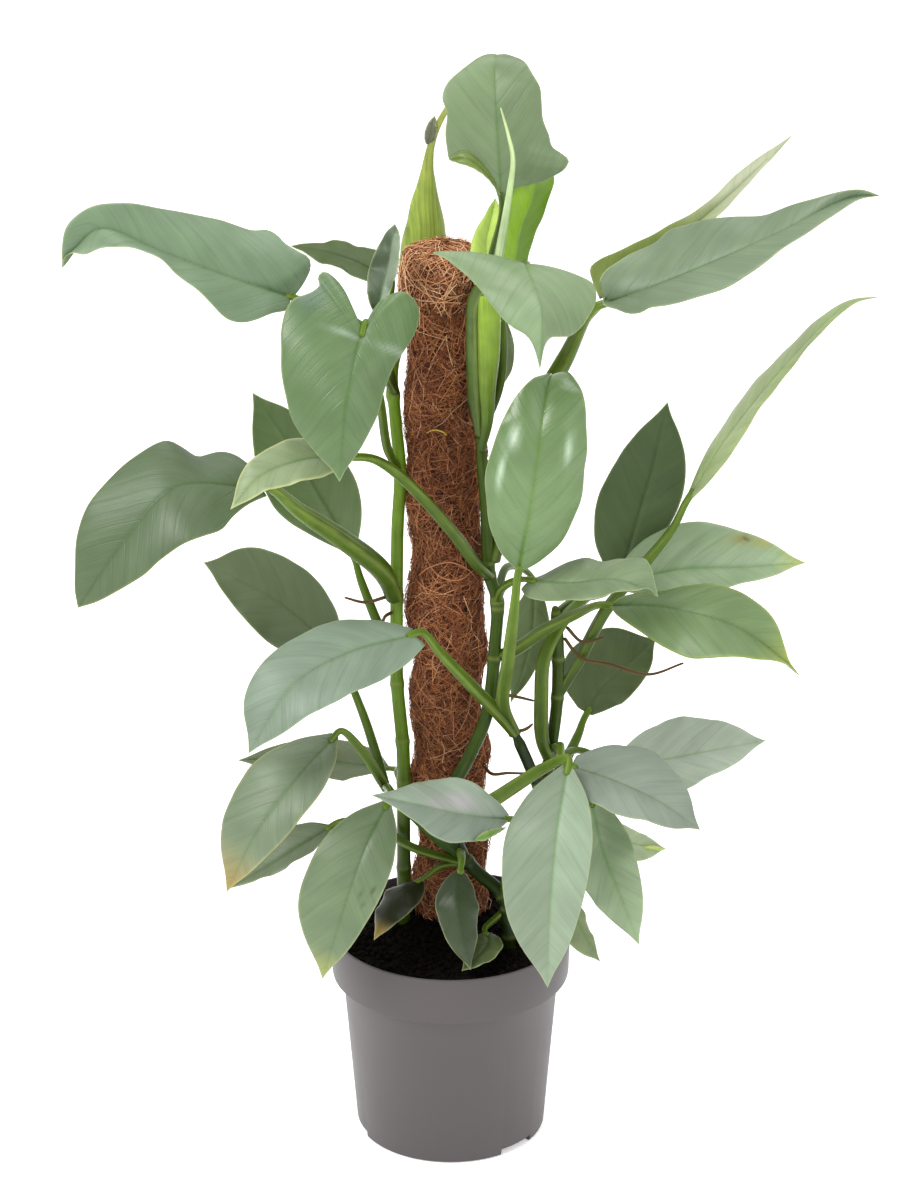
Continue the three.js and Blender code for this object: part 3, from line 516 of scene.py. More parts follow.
def grow_stem(stem):
    """A climbing stem with its rings, its branch and the stalks that leave it, as one piece."""
    name, radius, top, foot = stem["name"], stem["radius"], stem["top"], stem["foot"]
    sunk = [[*foot, STEM_FOOT_Z], [*foot, STEM_FOOT_Z + STEM_SUNK_STEP]]
    path = smooth_path([*sunk, *stem["route"]], 1.2)
    run = distances(path)
    carried = [leaf for leaf in LEAVES if leaf["stem"] == name]
    rings = [run[np.argmin(np.linalg.norm(path - np.array(leaf["stalk"][0]), axis=1))] for leaf in carried]
    rings += stem["rings"]

    def swell(along):
        return 1 + sum(NODE_SWELL * np.exp(-((along - ring) / NODE_REACH) ** 2) for ring in rings)

    radii = [*np.linspace(radius, top, 24), top * 0.5]
    points, faces, places = tube(path, radii, sides=20, up=(0, -1, 0), swell=swell)
    tints = blend(tissue(stem["tint"]), tissue(stem["top_tint"]), share_along(places))
    above = [places[:, 1:2] - ring - SCAR_ABOVE for ring in rings]
    scar = SCAR_SHARE * np.max([np.exp(-(gap / SCAR_REACH) ** 2) for gap in above], axis=0)
    tints = blend(tints, tissue(NODE_TINT), scar)
    # Painted shade: the lower stem is darkened among the low leaves, fading out upwards.
    tints = tints * (FOOT_SHADE + (1 - FOOT_SHADE) * smoothstep(*FOOT_SHADE_FADE, points[:, 2:3]))
    parts = [(points, faces, places, tints)]
    for branch in BRANCHES:
        if branch["stem"] == name:
            path = smooth_path(branch["route"], 1.2)
            outline = winged(0, 0.05)
            points, faces, places = tube(path, branch["radii"], 18, (0, -1, 0), profile=outline)
            low, high = (tissue(code) for code in branch["tints"])
            parts.append((points, faces, places, blend(low, high, share_along(places))))
    parts += [stalk_part(leaf) for leaf in carried]
    points, faces, places, tints = join(parts)
    put_piece(name + "_grown", points, faces, [stem_skin], name, places, tints)


# Leaves: the rib runs from the stalk to the tip, and left and right are the margins at the widest place,
# seen from above with the tip ahead. The stalk's route starts inside its stem. An outline gives both
# margins from base to tip. A lag above 1 lets the margins run ahead of the rib. Spots are patches of
# their own tint: marks of the leaf, and on some leaves painted highlights, sheen and shade. Each gives
# place beside and along the rib, half width, half length and colour.
LEAVES = [
    dict(
        name="leaf_crown", stem="stem_right", tint="#617451",
        cup=0.03, wave=0.6, halves=("#657854", "#5e704e"),
        rib=[[34, -2, 689], [32, 1, 722], [30, 8, 755], [30, 26, 777.5], [37, 66, 762]],
        left=[-5, 2, 744], right=[64, 0, 737],
        outline=[
            [
                [31.5, -2, 691], [29, -1, 698], [23, 0, 705], [14, 1, 712], [5, 1, 714], [0, 0, 715],
                [-2, 0, 724], [-3, 1, 733], [-2, 3, 746], [-5, 6, 756], [-2, 10, 764], [7, 18, 771],
                [18, 26, 776.5], [26, 32, 778], [37, 66, 762],
            ], [
                [36.5, -2, 691], [43, -1, 697], [53, 0, 699], [61, 0, 701], [69, -3, 706], [75, -6, 711],
                [78, -6, 717], [73, -3, 721], [67, -1, 725], [65, 1, 732], [61, 3, 742], [60, 6, 754],
                [59, 9, 762], [54, 16, 769], [48, 24, 775.5], [37, 32, 778], [37, 66, 762],
            ],
        ],
        lag=1.1,
        stalk=[[20, -2, 524], [22, 0, 549], [22, 0, 584], [25, -2, 612], [27, -2, 649]],
        radius=3, wing=0.05, stalk_tint="#33461a", under="#70863c",
    ),
    dict(
        name="leaf_centre_top", stem="stem_right", tint="#6a7e5a",
        wave=0.6,
        rib=[[49, -30, 653], [49, -60, 662], [58, -105, 650], [57, -145, 621]],
        left=[92, -62, 650], right=[-12, -62, 673],
        outline=[
            [
                [51, -32, 654], [62, -36, 653], [75, -40, 651], [85, -46, 650], [92, -52, 649],
                [95, -60, 645], [94, -70, 639], [90, -78, 634], [85, -88, 630], [77, -100, 628],
                [70, -108, 630], [65, -114, 632], [61, -124, 631], [59, -134, 627], [57, -145, 621],
            ], [
                [46, -30, 654], [36, -42, 660], [21, -52, 666], [6, -58, 670], [-4, -60, 672],
                [-12, -60, 671], [-2, -66, 668], [7, -74, 664], [13, -80, 660], [19, -88, 656],
                [26, -96, 648], [33, -104, 642], [40, -112, 638], [48, -120, 636], [52, -127, 633],
                [55, -136, 627], [57, -145, 621],
            ],
        ],
        lag=1.2,
        stalk=[[20, -3, 524], [18, -2, 560], [17, -3, 596], [18, -6, 622], [27, -12, 636], [42, -20, 637]],
        radius=7, foot_share=0.35, wing=0.24, stalk_tint="#4c6030", stalk_foot="#41571f",
    ),
    dict(
        # The underside tint is brightened as painted light, since the leaf lies in shade between the stems.
        name="leaf_dark_back", stem="stem_right", tint="#64775d", under="#8fa27c",
        lobes=[2, 2],
        rib=[[26, 58, 598], [26, 62, 572], [22, 66, 545], [17, 68, 519]],
        left=[8, 62, 562], right=[42, 62, 562],
        margins=[[0.3, 0.6, 0.9, 1, 0.8, 0.4], [0.3, 0.6, 0.9, 1.15, 1.1, 0.6]],
        stalk=[[20, -4, 524], [34, 16, 556], [35, 42, 592], [30, 54, 606]],
    ),
    dict(
        name="leaf_right_long", stem="stem_right", tint="#5f7055",
        rib=[[102, 0, 616], [152, -10, 640], [210, -14, 668], [262, -10, 693], [281, -12, 695]],
        left=[166, 25, 668], right=[163, -45, 635],
        outline=[
            [
                [102, 0, 625], [99, 2, 631], [102, 6, 637], [111, 12, 642], [120, 18, 646],
                [137, 24, 653], [146, 26, 660], [158, 24, 664], [170, 18, 669], [186, 12, 674],
                [205, 8, 676], [219, 2, 682], [237, -4, 690], [258, -10, 698], [270, -12, 699],
                [281, -12, 695],
            ], [
                [104, 0, 624], [101, -8, 619], [110, -16, 618], [117, -24, 618], [124, -28, 620],
                [131, -32, 625], [141, -36, 627], [156, -38, 631], [174, -38, 637], [193, -36, 648],
                [211, -33, 660], [230, -29, 672], [249, -22, 684], [267, -15, 693], [281, -12, 695],
            ],
        ],
        lag=1.15,
        stalk=[[28, 4, 430], [42, 22, 480], [60, 32, 530], [78, 28, 568]],
        radius=7, wing=0.24,
    ),
    dict(
        name="leaf_right_behind", stem="stem_right", tint="#6c7b39", under="#5e6c4b",
        wave=0.5, tip_tint="#959b7e", tip_from=(0.3, 0.7),
        rib=[[111, 46, 608], [148, 60, 637], [188, 75, 668], [232, 88, 708]],
        left=[155, 88, 637], right=[155, 42, 645],
        outline=[
            [
                [101, 45, 605], [96, 45, 617], [94, 46, 627], [100, 48, 632], [110, 52, 636],
                [122, 57, 640], [138, 62, 646], [155, 68, 654], [168, 72, 661], [181, 78, 670],
                [196, 84, 683], [213, 88, 695], [223, 90, 701], [232, 88, 708],
            ], [
                [103, 45, 604], [109, 42, 613], [121, 38, 625], [137, 34, 638], [161, 40, 647],
                [178, 52, 660], [192, 62, 670], [207, 74, 684], [220, 84, 695], [232, 88, 708],
            ],
        ],
        stalk=[[70, 32, 552], [84, 40, 580], [98, 42, 598]],
    ),
    dict(
        name="leaf_glossy", stem="stem_centre", tint="#5d7549",
        cup=0.1,
        rib=[[46, -40, 442], [54, -60, 500], [60, -56, 548], [66, -26, 573], [70, 10, 558]],
        left=[22, -52, 511], right=[86, -50, 511],
        outline=[
            [
                [46, -41, 442], [33, -46, 458], [26, -49, 478], [23, -52, 499], [23, -54, 519],
                [28, -54, 538], [35, -52, 556], [44, -46, 570], [54, -36, 577], [65, -20, 575],
                [71, 0, 563], [70, 10, 558],
            ], [
                [49, -41, 442], [62, -44, 451], [73, -47, 463], [83, -50, 482], [89, -51, 505],
                [91, -51, 532], [91, -48, 552], [88, -40, 569], [82, -28, 576], [77, -12, 572],
                [70, 10, 558],
            ],
        ],
        stalk=[[45, -16, 310], [36, -24, 337], [39, -32, 372], [43, -38, 412]],
        radius=4.6, wing=0.24, gloss=0.95, rib_tint="#4f6f28", rib_width=1.5, edge=0.7,
        # Spots: painted highlights, white glints of sheen on the glossy upper side.
        spots=[
            (-17, 104, 3, 7, "#b4c6ae"), (-8, 166, 2.5, 8, "#b4c6ae"), (20, 100, 2.5, 9, "#a3b89c"),
            (-23, 80, 2, 12, "#a3b89c"),
        ],
        waves=6, wave=1.6,
    ),
    dict(
        name="leaf_curled_pale", stem="stem_right", tint="#75845f",
        lobes=[2, 2],
        rib=[[-69, -75, 536], [-92, -88, 540], [-122, -103, 534], [-142, -112, 514]],
        left=[-98, -108, 531], right=[-105, -80, 550],
        stalk=[
            [27, 2, 421], [18, -14, 436], [3, -24, 462], [-17, -30, 489], [-35, -36, 510],
            [-50, -52, 526],
        ],
        radius=4.6, edge_tint="#b0b27a", edge_width=2, edge=0.7,
    ),
    dict(
        name="leaf_narrow_front", stem="stem_right", tint="#687958",
        rib=[[54, -28, 430], [81, -42, 434], [114, -52, 440], [139, -60, 431]],
        left=[92, -30, 447], right=[92, -66, 428],
        outline=[
            [
                [48, -28, 423], [54, -24, 428], [64, -22, 432], [72, -22, 438], [80, -24, 442],
                [91, -26, 445], [101, -28, 444], [113, -32, 448], [122, -36, 449], [131, -40, 450],
                [135, -46, 446], [137, -54, 439], [139, -60, 431],
            ], [
                [48, -28, 423], [52, -34, 420], [61, -42, 421], [76, -54, 425], [88, -62, 430],
                [100, -64, 432], [114, -66, 437], [124, -65, 438], [132, -63, 439], [139, -60, 431],
            ],
        ],
        stalk=[[32, 0, 402], [36, -12, 418]],
    ),
    dict(
        name="leaf_grey_back", stem="stem_right", tint="#6f7e6d", under="#627747",
        lobes=[2, 2],
        rib=[[59, 75, 381], [58, 85, 345], [52, 85, 316], [43, 80, 291]],
        left=[42, 78, 344], right=[70, 82, 350],
        stalk=[[32, 2, 404], [38, 36, 412], [50, 62, 402]],
    ),
    dict(
        name="leaf_heart", stem="stem_left", tint="#536a42",
        rib=[[-56, -68, 621], [-61, -83, 608], [-67, -104, 580], [-71, -114, 534]],
        left=[-36, -78, 610], right=[-106, -80, 603],
        outline=[
            [
                [-53.3, -60, 624.9], [-50.5, -52, 628.4], [-45.3, -52, 635.9],
                [-38.2, -46, 638.7], [-30.4, -46, 640.8], [-23.9, -46, 637.4],
                [-20, -50, 631.2], [-21, -58, 619], [-28, -68, 609], [-35, -76, 601], [-41, -84, 588],
                [-46, -92, 574], [-52, -99, 562], [-60, -106, 549], [-67, -111, 541], [-71, -114, 534],
            ], [
                [-54, -60, 624], [-60, -58, 626], [-65, -54, 635], [-69, -48, 643], [-76, -42, 650],
                [-82, -40, 653], [-86, -42, 650], [-85, -50, 646], [-92, -58, 643], [-101, -62, 641],
                [-106, -68, 636], [-109, -78, 625], [-109, -84, 613], [-109, -88, 600], [-106, -92, 585],
                [-102, -96, 570], [-94, -101, 558], [-84, -107, 548], [-76, -111, 541], [-71, -114, 534],
            ],
        ],
        # Spots: the two pale streaks by the base are painted highlights, the sheen along the fold. The dark
        # patch on the lobe is painted shade.
        lag=2, spots=[(-26, 8, 14, 2.2, "#7d8e79"), (10, 7, 12, 2, "#7d8e79"), (40, -12, 9, 14, "#425944")],
        gloss=0.6,
        stalk=[[-34, 14, 492], [-42, -2, 514], [-46, -22, 553], [-50, -50, 592]],
    ),
    dict(
        name="leaf_olive", stem="stem_left", tint="#6f8160", under="#374919",
        rib=[[-46, 32, 628], [-67, 40, 636], [-89, 52, 638], [-108, 60, 638]],
        left=[-71, 62, 641], right=[-77, 25, 634],
        outline=[
            [
                [-39, 37, 628], [-42, 45, 634], [-49, 51, 637], [-58, 56, 639], [-68, 60, 640],
                [-78, 62, 641], [-88, 63, 640], [-98, 62, 639], [-108, 60, 638],
            ], [
                [-39, 27, 629], [-42, 24, 621], [-49, 23, 622], [-59, 24, 626], [-68, 28, 629],
                [-77, 34, 631], [-89, 42, 633], [-98, 50, 636], [-108, 60, 638],
            ],
        ],
        stalk=[[-37, 18, 545], [-45, 22, 580], [-42, 26, 606]],
        radius=4,
    ),
    dict(
        name="leaf_left_long", stem="stem_left", tint="#5e7356",
        wave=1.8,
        rib=[[-103, -30, 631], [-140, -42, 648], [-187, -48, 668], [-227, -50, 684], [-250, -60, 661]],
        left=[-147, -75, 633], right=[-150, 0, 671],
        outline=[
            [
                [-105, -31, 630], [-106, -40, 626], [-116, -52, 627], [-125, -60, 626], [-134, -65, 626],
                [-144, -68, 629], [-155, -68, 639], [-164, -68, 648], [-176, -66, 660], [-186, -64, 670],
                [-198, -63, 673], [-211, -63, 675], [-224, -63, 675], [-235, -63, 671], [-243, -62, 672],
                [-248, -61, 669], [-250, -60, 661],
            ], [
                [-104, -30, 630], [-99, -28, 635], [-94, -24, 642], [-91, -22, 649], [-92, -22, 656],
                [-99, -20, 660], [-107, -16, 664], [-113, -10, 668], [-120, -6, 670], [-130, -8, 670],
                [-141, -8, 673], [-152, -10, 678], [-163, -14, 683], [-178, -20, 688], [-197, -28, 693],
                [-212, -36, 697], [-228, -42, 698], [-238, -48, 695], [-247, -54, 687], [-250, -58, 675],
                [-250, -60, 661],
            ],
        ],
        lag=1.25,
        stalk=[[-37, 16, 548], [-54, 2, 586], [-80, -14, 614]],
    ),
    dict(
        name="leaf_large_left", stem="stem_left", tint="#4b5c3e",
        rib=[[-125, -60, 509], [-180, -83, 518], [-211, -96, 488], [-244, -105, 442]],
        left=[-160, -112, 493], right=[-193, -42, 534],
        outline=[
            [
                [-121, -60, 503], [-126, -66, 503], [-134, -76, 502], [-142, -88, 499], [-149, -98, 494],
                [-161, -106, 492], [-177, -112, 487], [-190, -114, 478], [-201, -114, 467],
                [-217, -111, 456], [-232, -108, 447], [-244, -105, 442],
            ], [
                [-120, -60, 505], [-127, -52, 516], [-136, -46, 523], [-144, -42, 527], [-152, -40, 528],
                [-159, -42, 527], [-167, -46, 526], [-177, -48, 533], [-186, -50, 538], [-197, -56, 537],
                [-213, -64, 529], [-228, -74, 516], [-239, -82, 502], [-245, -90, 485], [-246, -98, 466],
                [-246, -102, 453], [-244, -105, 442],
            ],
        ],
        lag=1.1,
        stalk=[[-38, 10, 402], [-46, -8, 428], [-72, -32, 461], [-100, -48, 488]],
        radius=7.4, wing=0.24, edge_tint="#98a04e",
    ),
    dict(
        name="leaf_dark_left", stem="stem_left", tint="#6c7d65", under="#495d32",
        rib=[[-70, 40, 425], [-90, 60, 454], [-115, 75, 493], [-137, 85, 524]],
        left=[-59, 58, 458], right=[-126, 52, 458],
        margins=[[0.25, 0.62, 0.95, 1, 0.8, 0.42], [0.12, 0.42, 0.8, 1, 0.85, 0.45]],
        stalk=[[-38, 8, 352], [-44, 14, 366], [-52, 22, 382], [-62, 32, 406]],
        radius=3.6,
    ),
    dict(
        name="leaf_edge_on_low", stem="stem_left", tint="#53603f", under="#616c54",
        rib=[[-44, 38, 259], [-71, 50, 257], [-114, 50, 260], [-151, 45, 262]],
        left=[-67, 25, 255], right=[-71, 66, 267],
        margins=[NARROW_FOOT_MARGIN, NARROW_FOOT_MARGIN],
        stalk=[[-34, 8, 262], [-37, 24, 262]],
    ),
    dict(
        name="leaf_olive_left", stem="stem_right", tint="#6f8163", under="#475534",
        lobes=[2, 2],
        rib=[[-82, 40, 346], [-106, 60, 364], [-141, 75, 384], [-174, 85, 397]],
        left=[-93, 62, 391], right=[-132, 52, 354],
        margins=[[0.3, 0.66, 0.95, 1.08, 1.02, 0.62], PLAIN_MARGIN],
        stalk=[[-44, -25, 272], [-52, -6, 292], [-62, 16, 314]],
        radius=3.4,
    ),
    dict(
        name="leaf_front_left", stem="stem_centre", tint="#6f7f6c",
        lobes=[4, 2],
        rib=[[-25, -45, 397], [-68, -70, 395], [-104, -92, 381], [-134, -110, 339]],
        left=[-67, -100, 377], right=[-71, -48, 411],
        margins=[[0.35, 0.7, 0.95, 1, 0.85, 0.45], [0.2, 0.6, 0.95, 1.08, 1.08, 0.75]],
        stalk=[[45, -16, 310], [34, -24, 328], [13, -34, 356], [-7, -40, 382]],
        radius=4.5,
    ),
    dict(
        name="leaf_low_left", stem="stem_right", tint="#65745a",
        lobes=[2, 2],
        rib=[[-79, -45, 321], [-102, -70, 305], [-130, -88, 272], [-152, -92, 227]],
        left=[-85, -80, 298], right=[-137, -60, 305],
        margins=[[0.1, 0.58, 0.92, 1, 0.85, 0.42], [0.12, 0.52, 0.86, 1, 0.86, 0.5]],
        stalk=[[-44, -25, 272], [-52, -30, 290], [-62, -34, 308]],
        radius=3.6, tip_tint="#8c7c46", tip_from=(0.7, 1), edge_tint="#a4a062", edge_width=1.8,
    ),
    dict(
        name="leaf_low_left_behind", stem="stem_right", tint="#5b694d",
        rib=[[-84, 20, 222], [-106, 10, 212], [-131, 0, 199], [-156, -10, 188]],
        left=[-106, -2, 207], right=[-104, 28, 227],
        margins=[NARROW_FOOT_MARGIN, [0.1, 0.55, 0.9, 1, 0.8, 0.42]],
        stalk=[[10, -14, 210], [-28, -10, 221], [-56, 12, 230]],
    ),
    dict(
        name="leaf_front_foot", stem="stem_right", tint="#5f7051",
        lobes=[2, 2],
        rib=[[-43, -60, 278], [-57, -85, 258], [-73, -105, 218], [-87, -112, 171]],
        left=[-35, -85, 255], right=[-94, -92, 245],
        margins=[NARROW_FOOT_MARGIN, [0.1, 0.52, 0.9, 1.1, 1.06, 0.56]],
        edge_width=1.6, tip_tint="#8c9455", tip_from=(0.8, 1),
        spots=[(-7, 66, 0.8, 3, "#39461f"), (-11, 72, 0.9, 2.4, "#39461f"), (-15, 61, 0.8, 3, "#3f4c26")],
        stalk=[[-44, -25, 272], [-43, -40, 281]],
    ),
    dict(
        # The tint is darkened as painted shade, since the leaf lies in shade low under the others.
        name="leaf_low_small", stem="stem_right", tint="#20240a",
        rib=[[-21, -18, 199], [-35, -35, 198], [-46, -48, 187], [-53, -55, 171]],
        left=[-32, -52, 187], right=[-47, -30, 193],
        stalk=[[10, -14, 210], [-6, -10, 206]],
        radius=2.4, tip_tint="#8a7434", tip_from=(0.7, 0.95),
    ),
    dict(
        name="leaf_front_tilted", stem="stem_right", tint="#778475",
        # Halves: the lighter half is painted sheen, a silvery shine across the blade.
        halves=("#717e6f", "#839180"),
        rib=[[39, -70, 271], [10, -100, 289], [-20, -120, 306], [-52, -130, 318]],
        left=[3, -135, 285], right=[8, -78, 305],
        outline=[
            [
                [39, -76, 272], [33, -96, 276], [24, -110, 276], [14, -122, 279],
                [1, -132, 284], [-12, -136, 292], [-27, -136, 304],
                [-40, -133, 313], [-52, -130, 318],
            ], [
                [40, -70, 275], [35, -70, 282], [28, -72, 290], [22, -74, 297],
                [13, -76, 303], [3, -78, 306], [-7, -82, 308], [-17, -90, 310],
                [-27, -102, 312], [-37, -115, 315], [-44, -124, 317], [-52, -130, 318],
            ],
        ],
        # Spots: painted sheen, pale shining patches on the blade.
        spots=[(9, 48, 7, 16, "#9a9797"), (4, 70, 5, 9, "#8f8f8c")],
        stalk=[[37, -20, 187], [40, -30, 215], [44, -48, 246]],
        radius=3.4, gloss=0.7,
    ),
    dict(
        # The tint is darkened as painted shade, since the leaf lies in shade at the foot of the stems.
        name="leaf_foot_centre", stem="stem_right", tint="#2e3b20",
        rib=[[7, -40, 219], [5, -62, 206], [9, -74, 181], [14, -78, 160]],
        left=[19, -56, 200], right=[-10, -60, 201],
        margins=[NARROW_FOOT_MARGIN, NARROW_FOOT_MARGIN],
        stalk=[[7, -13, 218], [7, -24, 223]],
    ),
    dict(
        # The tint is darkened as painted shade, since the leaf lies in shade at the foot of the stems.
        name="leaf_foot_small", stem="stem_right", tint="#425026",
        rib=[[25, -36, 167], [26, -52, 167], [18, -66, 163], [8, -76, 158]],
        left=[36, -56, 165], right=[12, -50, 165],
        stalk=[[39, -22, 178], [32, -24, 172]],
        radius=2.4,
    ),
    dict(
        name="leaf_front_large", stem="stem_right", tint="#7b8b73",
        # Halves: the left half is painted lighter and the right darker, as light and shade on the blade.
        lobes=[2, 2], halves=("#7e8f77", "#6e7d67"),
        rib=[[79, -75, 312], [71, -110, 275], [67, -125, 230], [66, -128, 173]],
        left=[97, -105, 284], right=[35, -108, 263],
        margins=[[0.12, 0.6, 0.95, 1, 0.82, 0.42], [0.1, 0.55, 0.9, 1, 0.86, 0.46]],
        stalk=[[3, -14, 243], [14, -24, 254], [31, -36, 270], [48, -48, 288], [64, -58, 304]],
        radius=5, wing=0.24,
    ),
    dict(
        name="leaf_side_upper", stem="stem_side", tint="#758072",
        lobes=[2, 2],
        rib=[[83, -46, 300], [115, -68, 298], [142, -82, 290], [169, -90, 273]],
        left=[127, -38, 312], right=[107, -96, 290],
        margins=[[0.3, 0.7, 0.95, 1, 0.82, 0.45], [0.1, 0.5, 0.9, 1, 0.82, 0.45]],
        stalk=[[70, 5, 289], [76, -18, 302]],
    ),
    dict(
        name="leaf_side_far", stem="stem_side", tint="#929e8d",
        rib=[[116, 35, 261], [150, 20, 274], [184, 8, 287], [219, 0, 298]],
        left=[153, 50, 291], right=[159, -28, 271],
        stalk=[[69, 5, 276], [88, 28, 278], [102, 38, 268]],
    ),
    dict(
        name="leaf_side_low", stem="stem_side", tint="#849875",
        lobes=[2, 2],
        rib=[[98, -20, 261], [105, -50, 238], [118, -68, 209], [130, -75, 178]],
        left=[128, -55, 234], right=[88, -50, 215],
        margins=[[0.2, 0.6, 0.95, 1, 0.82, 0.42], [0.2, 0.6, 0.95, 1, 0.8, 0.42]],
        stalk=[[66, 5, 240], [82, 4, 260]],
    ),
    dict(
        name="leaf_side_behind", stem="stem_side", tint="#9ba987",
        wave=0.8,
        rib=[[95, 30, 212], [117, 30, 207], [136, 28, 203], [153, 25, 202]],
        left=[122, 40, 214], right=[118, 12, 197],
        stalk=[[64, 7, 215], [78, 22, 219]],
        radius=2.4,
    ),
    dict(
        name="leaf_side_foot", stem="stem_side", tint="#73825a",
        rib=[[75, -6, 191], [86, -20, 175], [95, -30, 160], [105, -38, 145]],
        left=[99, -22, 164], right=[77, -34, 161],
        stalk=[[62, 12, 182], [70, 4, 197]],
        radius=2.2,
    ),
    dict(
        name="leaf_right_lower", stem="stem_right", tint="#5f754a",
        rib=[[108, 0, 400], [149, -24, 408], [196, -38, 399], [237, -45, 367]],
        left=[166, -2, 414], right=[148, -62, 390],
        outline=[
            [
                [109, -4, 401], [115, 0, 405], [128, 0, 409], [143, -2, 412], [162, -6, 417],
                [181, -12, 420], [195, -18, 419], [210, -24, 411], [221, -32, 400], [227, -40, 385],
                [230, -44, 377], [237, -45, 367],
            ], [
                [109, -4, 401], [114, -14, 398], [129, -28, 392], [145, -42, 386], [160, -54, 384],
                [185, -62, 388], [205, -62, 386], [217, -58, 384], [225, -53, 380], [237, -45, 367],
            ],
        ],
        stalk=[[31, -2, 362], [46, -10, 372], [62, -14, 386], [86, -11, 398]],
        radius=4.5, edge_tint="#8f9c40", edge_width=2.6, tip_tint="#8b9844", tip_from=(0.72, 1),
    ),
    dict(
        name="leaf_right_middle", stem="stem_side", tint="#809572",
        lobes=[2, 2],
        rib=[[118, 45, 398], [159, 35, 412], [203, 25, 418], [244, 18, 424]],
        left=[156, 60, 436], right=[164, 15, 404],
        stalk=[[69, 2, 284], [64, -6, 302], [63, -8, 334], [65, -7, 364], [78, 6, 386], [98, 34, 394]],
        radius=5, edge_width=1.8, tip_tint="#94a05a",
        spots=[(-21, 86, 4, 9, "#84814e"), (-17, 102, 4, 8, "#8c8f55"), (-20, 90, 1.4, 2.6, "#4c3f20")],
    ),
    dict(
        name="leaf_dark_upright", stem="stem_side", tint="#708169", under="#3e5229",
        lobes=[2, 2],
        rib=[[121, 72, 397], [131, 76, 434], [142, 78, 476], [150, 74, 521]],
        left=[160, 74, 446], right=[101, 72, 442],
        margins=[[0.2, 0.5, 0.82, 1.02, 0.9, 0.45], [0.4, 0.75, 0.98, 1, 0.8, 0.42]],
        stalk=[[72, 8, 390], [88, 38, 388], [110, 62, 384]],
        radius=3,
    ),
    dict(
        name="leaf_edge_on_high", stem="stem_side", tint="#8fa06c", under="#6f7d5b",
        wave=0.6,
        rib=[[164, 20, 473], [187, 25, 511], [230, 30, 567], [269, 30, 607], [289, 30, 612]],
        left=[195, 56, 523], right=[206, 6, 532],
        margins=[[0.3, 0.7, 0.95, 1, 0.8, 0.4], [0.3, 0.8, 1, 0.62, 0.4, 0.2]],
        stalk=[[73, 5, 328], [89, 10, 355], [107, 14, 390], [134, 18, 424], [153, 20, 450]],
        radius=4.6,
    ),
    dict(
        name="leaf_dark_right", stem="stem_side", tint="#708169", under="#46552d",
        rib=[[97, 60, 292], [106, 72, 305], [128, 85, 320], [146, 90, 336]],
        left=[127, 70, 300], right=[82, 78, 330],
        margins=[[0.2, 0.6, 0.95, 1, 0.85, 0.5], [0.25, 0.62, 0.95, 1, 0.95, 0.6]],
        stalk=[[67, 7, 262], [81, 32, 268], [91, 50, 281]],
        radius=4,
    ),
]

# Bright sheaths round the new growth.
SHEATHS = [
    dict(
        name="sheath_wide", tint="#7fa33a", halves=("#7aa016", "#547608"), under="#6f9434",
        wave=0, cup=0.05, ridge=0.2, groove=0, gloss=0.4, rib_tint="#7c9c34", edge=0.2,
        rib=[
            [24, 1, 590], [30, 3, 604], [43, 8, 622], [42, 8, 643], [47, 8, 670], [53, 8, 686],
            [57, 9, 701], [60, 10, 713],
        ],
        left=[36, 2, 671], right=[59, 13, 668],
        outline=[
            [
                [23, 0, 590], [26, 2, 604], [33, 3, 616], [35, 3, 626], [34, 3, 636], [34, 2, 648],
                [36, 1, 664], [38, 1, 680], [41, 1, 691], [43, 3, 702], [51, 6, 711], [60, 10, 713],
            ], [
                [25.5, 2, 589], [33, 5, 601], [41, 8, 609], [48, 11, 620], [51, 12, 632], [52, 13, 644],
                [56, 14, 659], [62, 14, 674], [66, 14, 687], [69, 14, 698], [66, 12, 708], [60, 10, 713],
            ],
        ],
    ),
    dict(
        name="sheath_narrow", tint="#b4cf62", under="#9dbb50",
        wave=0, cup=0.05, ridge=0.2, groove=0, gloss=0.4, rib_tint="#9dbb58", edge=0.3,
        rib=[[24, 1, 604], [25, 5, 621], [25, 5, 640], [24, 5, 658], [27, 5, 673], [30, 6, 687]],
        left=[16, 0, 664], right=[32, 2, 660],
        outline=[
            [
                [22, 1, 604], [20, 3, 618], [15, 1, 633], [13, 0, 646], [14, 0, 658], [17, 0, 668],
                [22, 1, 676], [26, 3, 683], [30, 6, 688],
            ], [
                [26, 2, 604], [29, 5, 618], [33, 4, 632], [33, 3, 645], [32, 2, 659], [33, 2, 671],
                [34, 4, 679], [30, 6, 688],
            ],
        ],
    ),
]

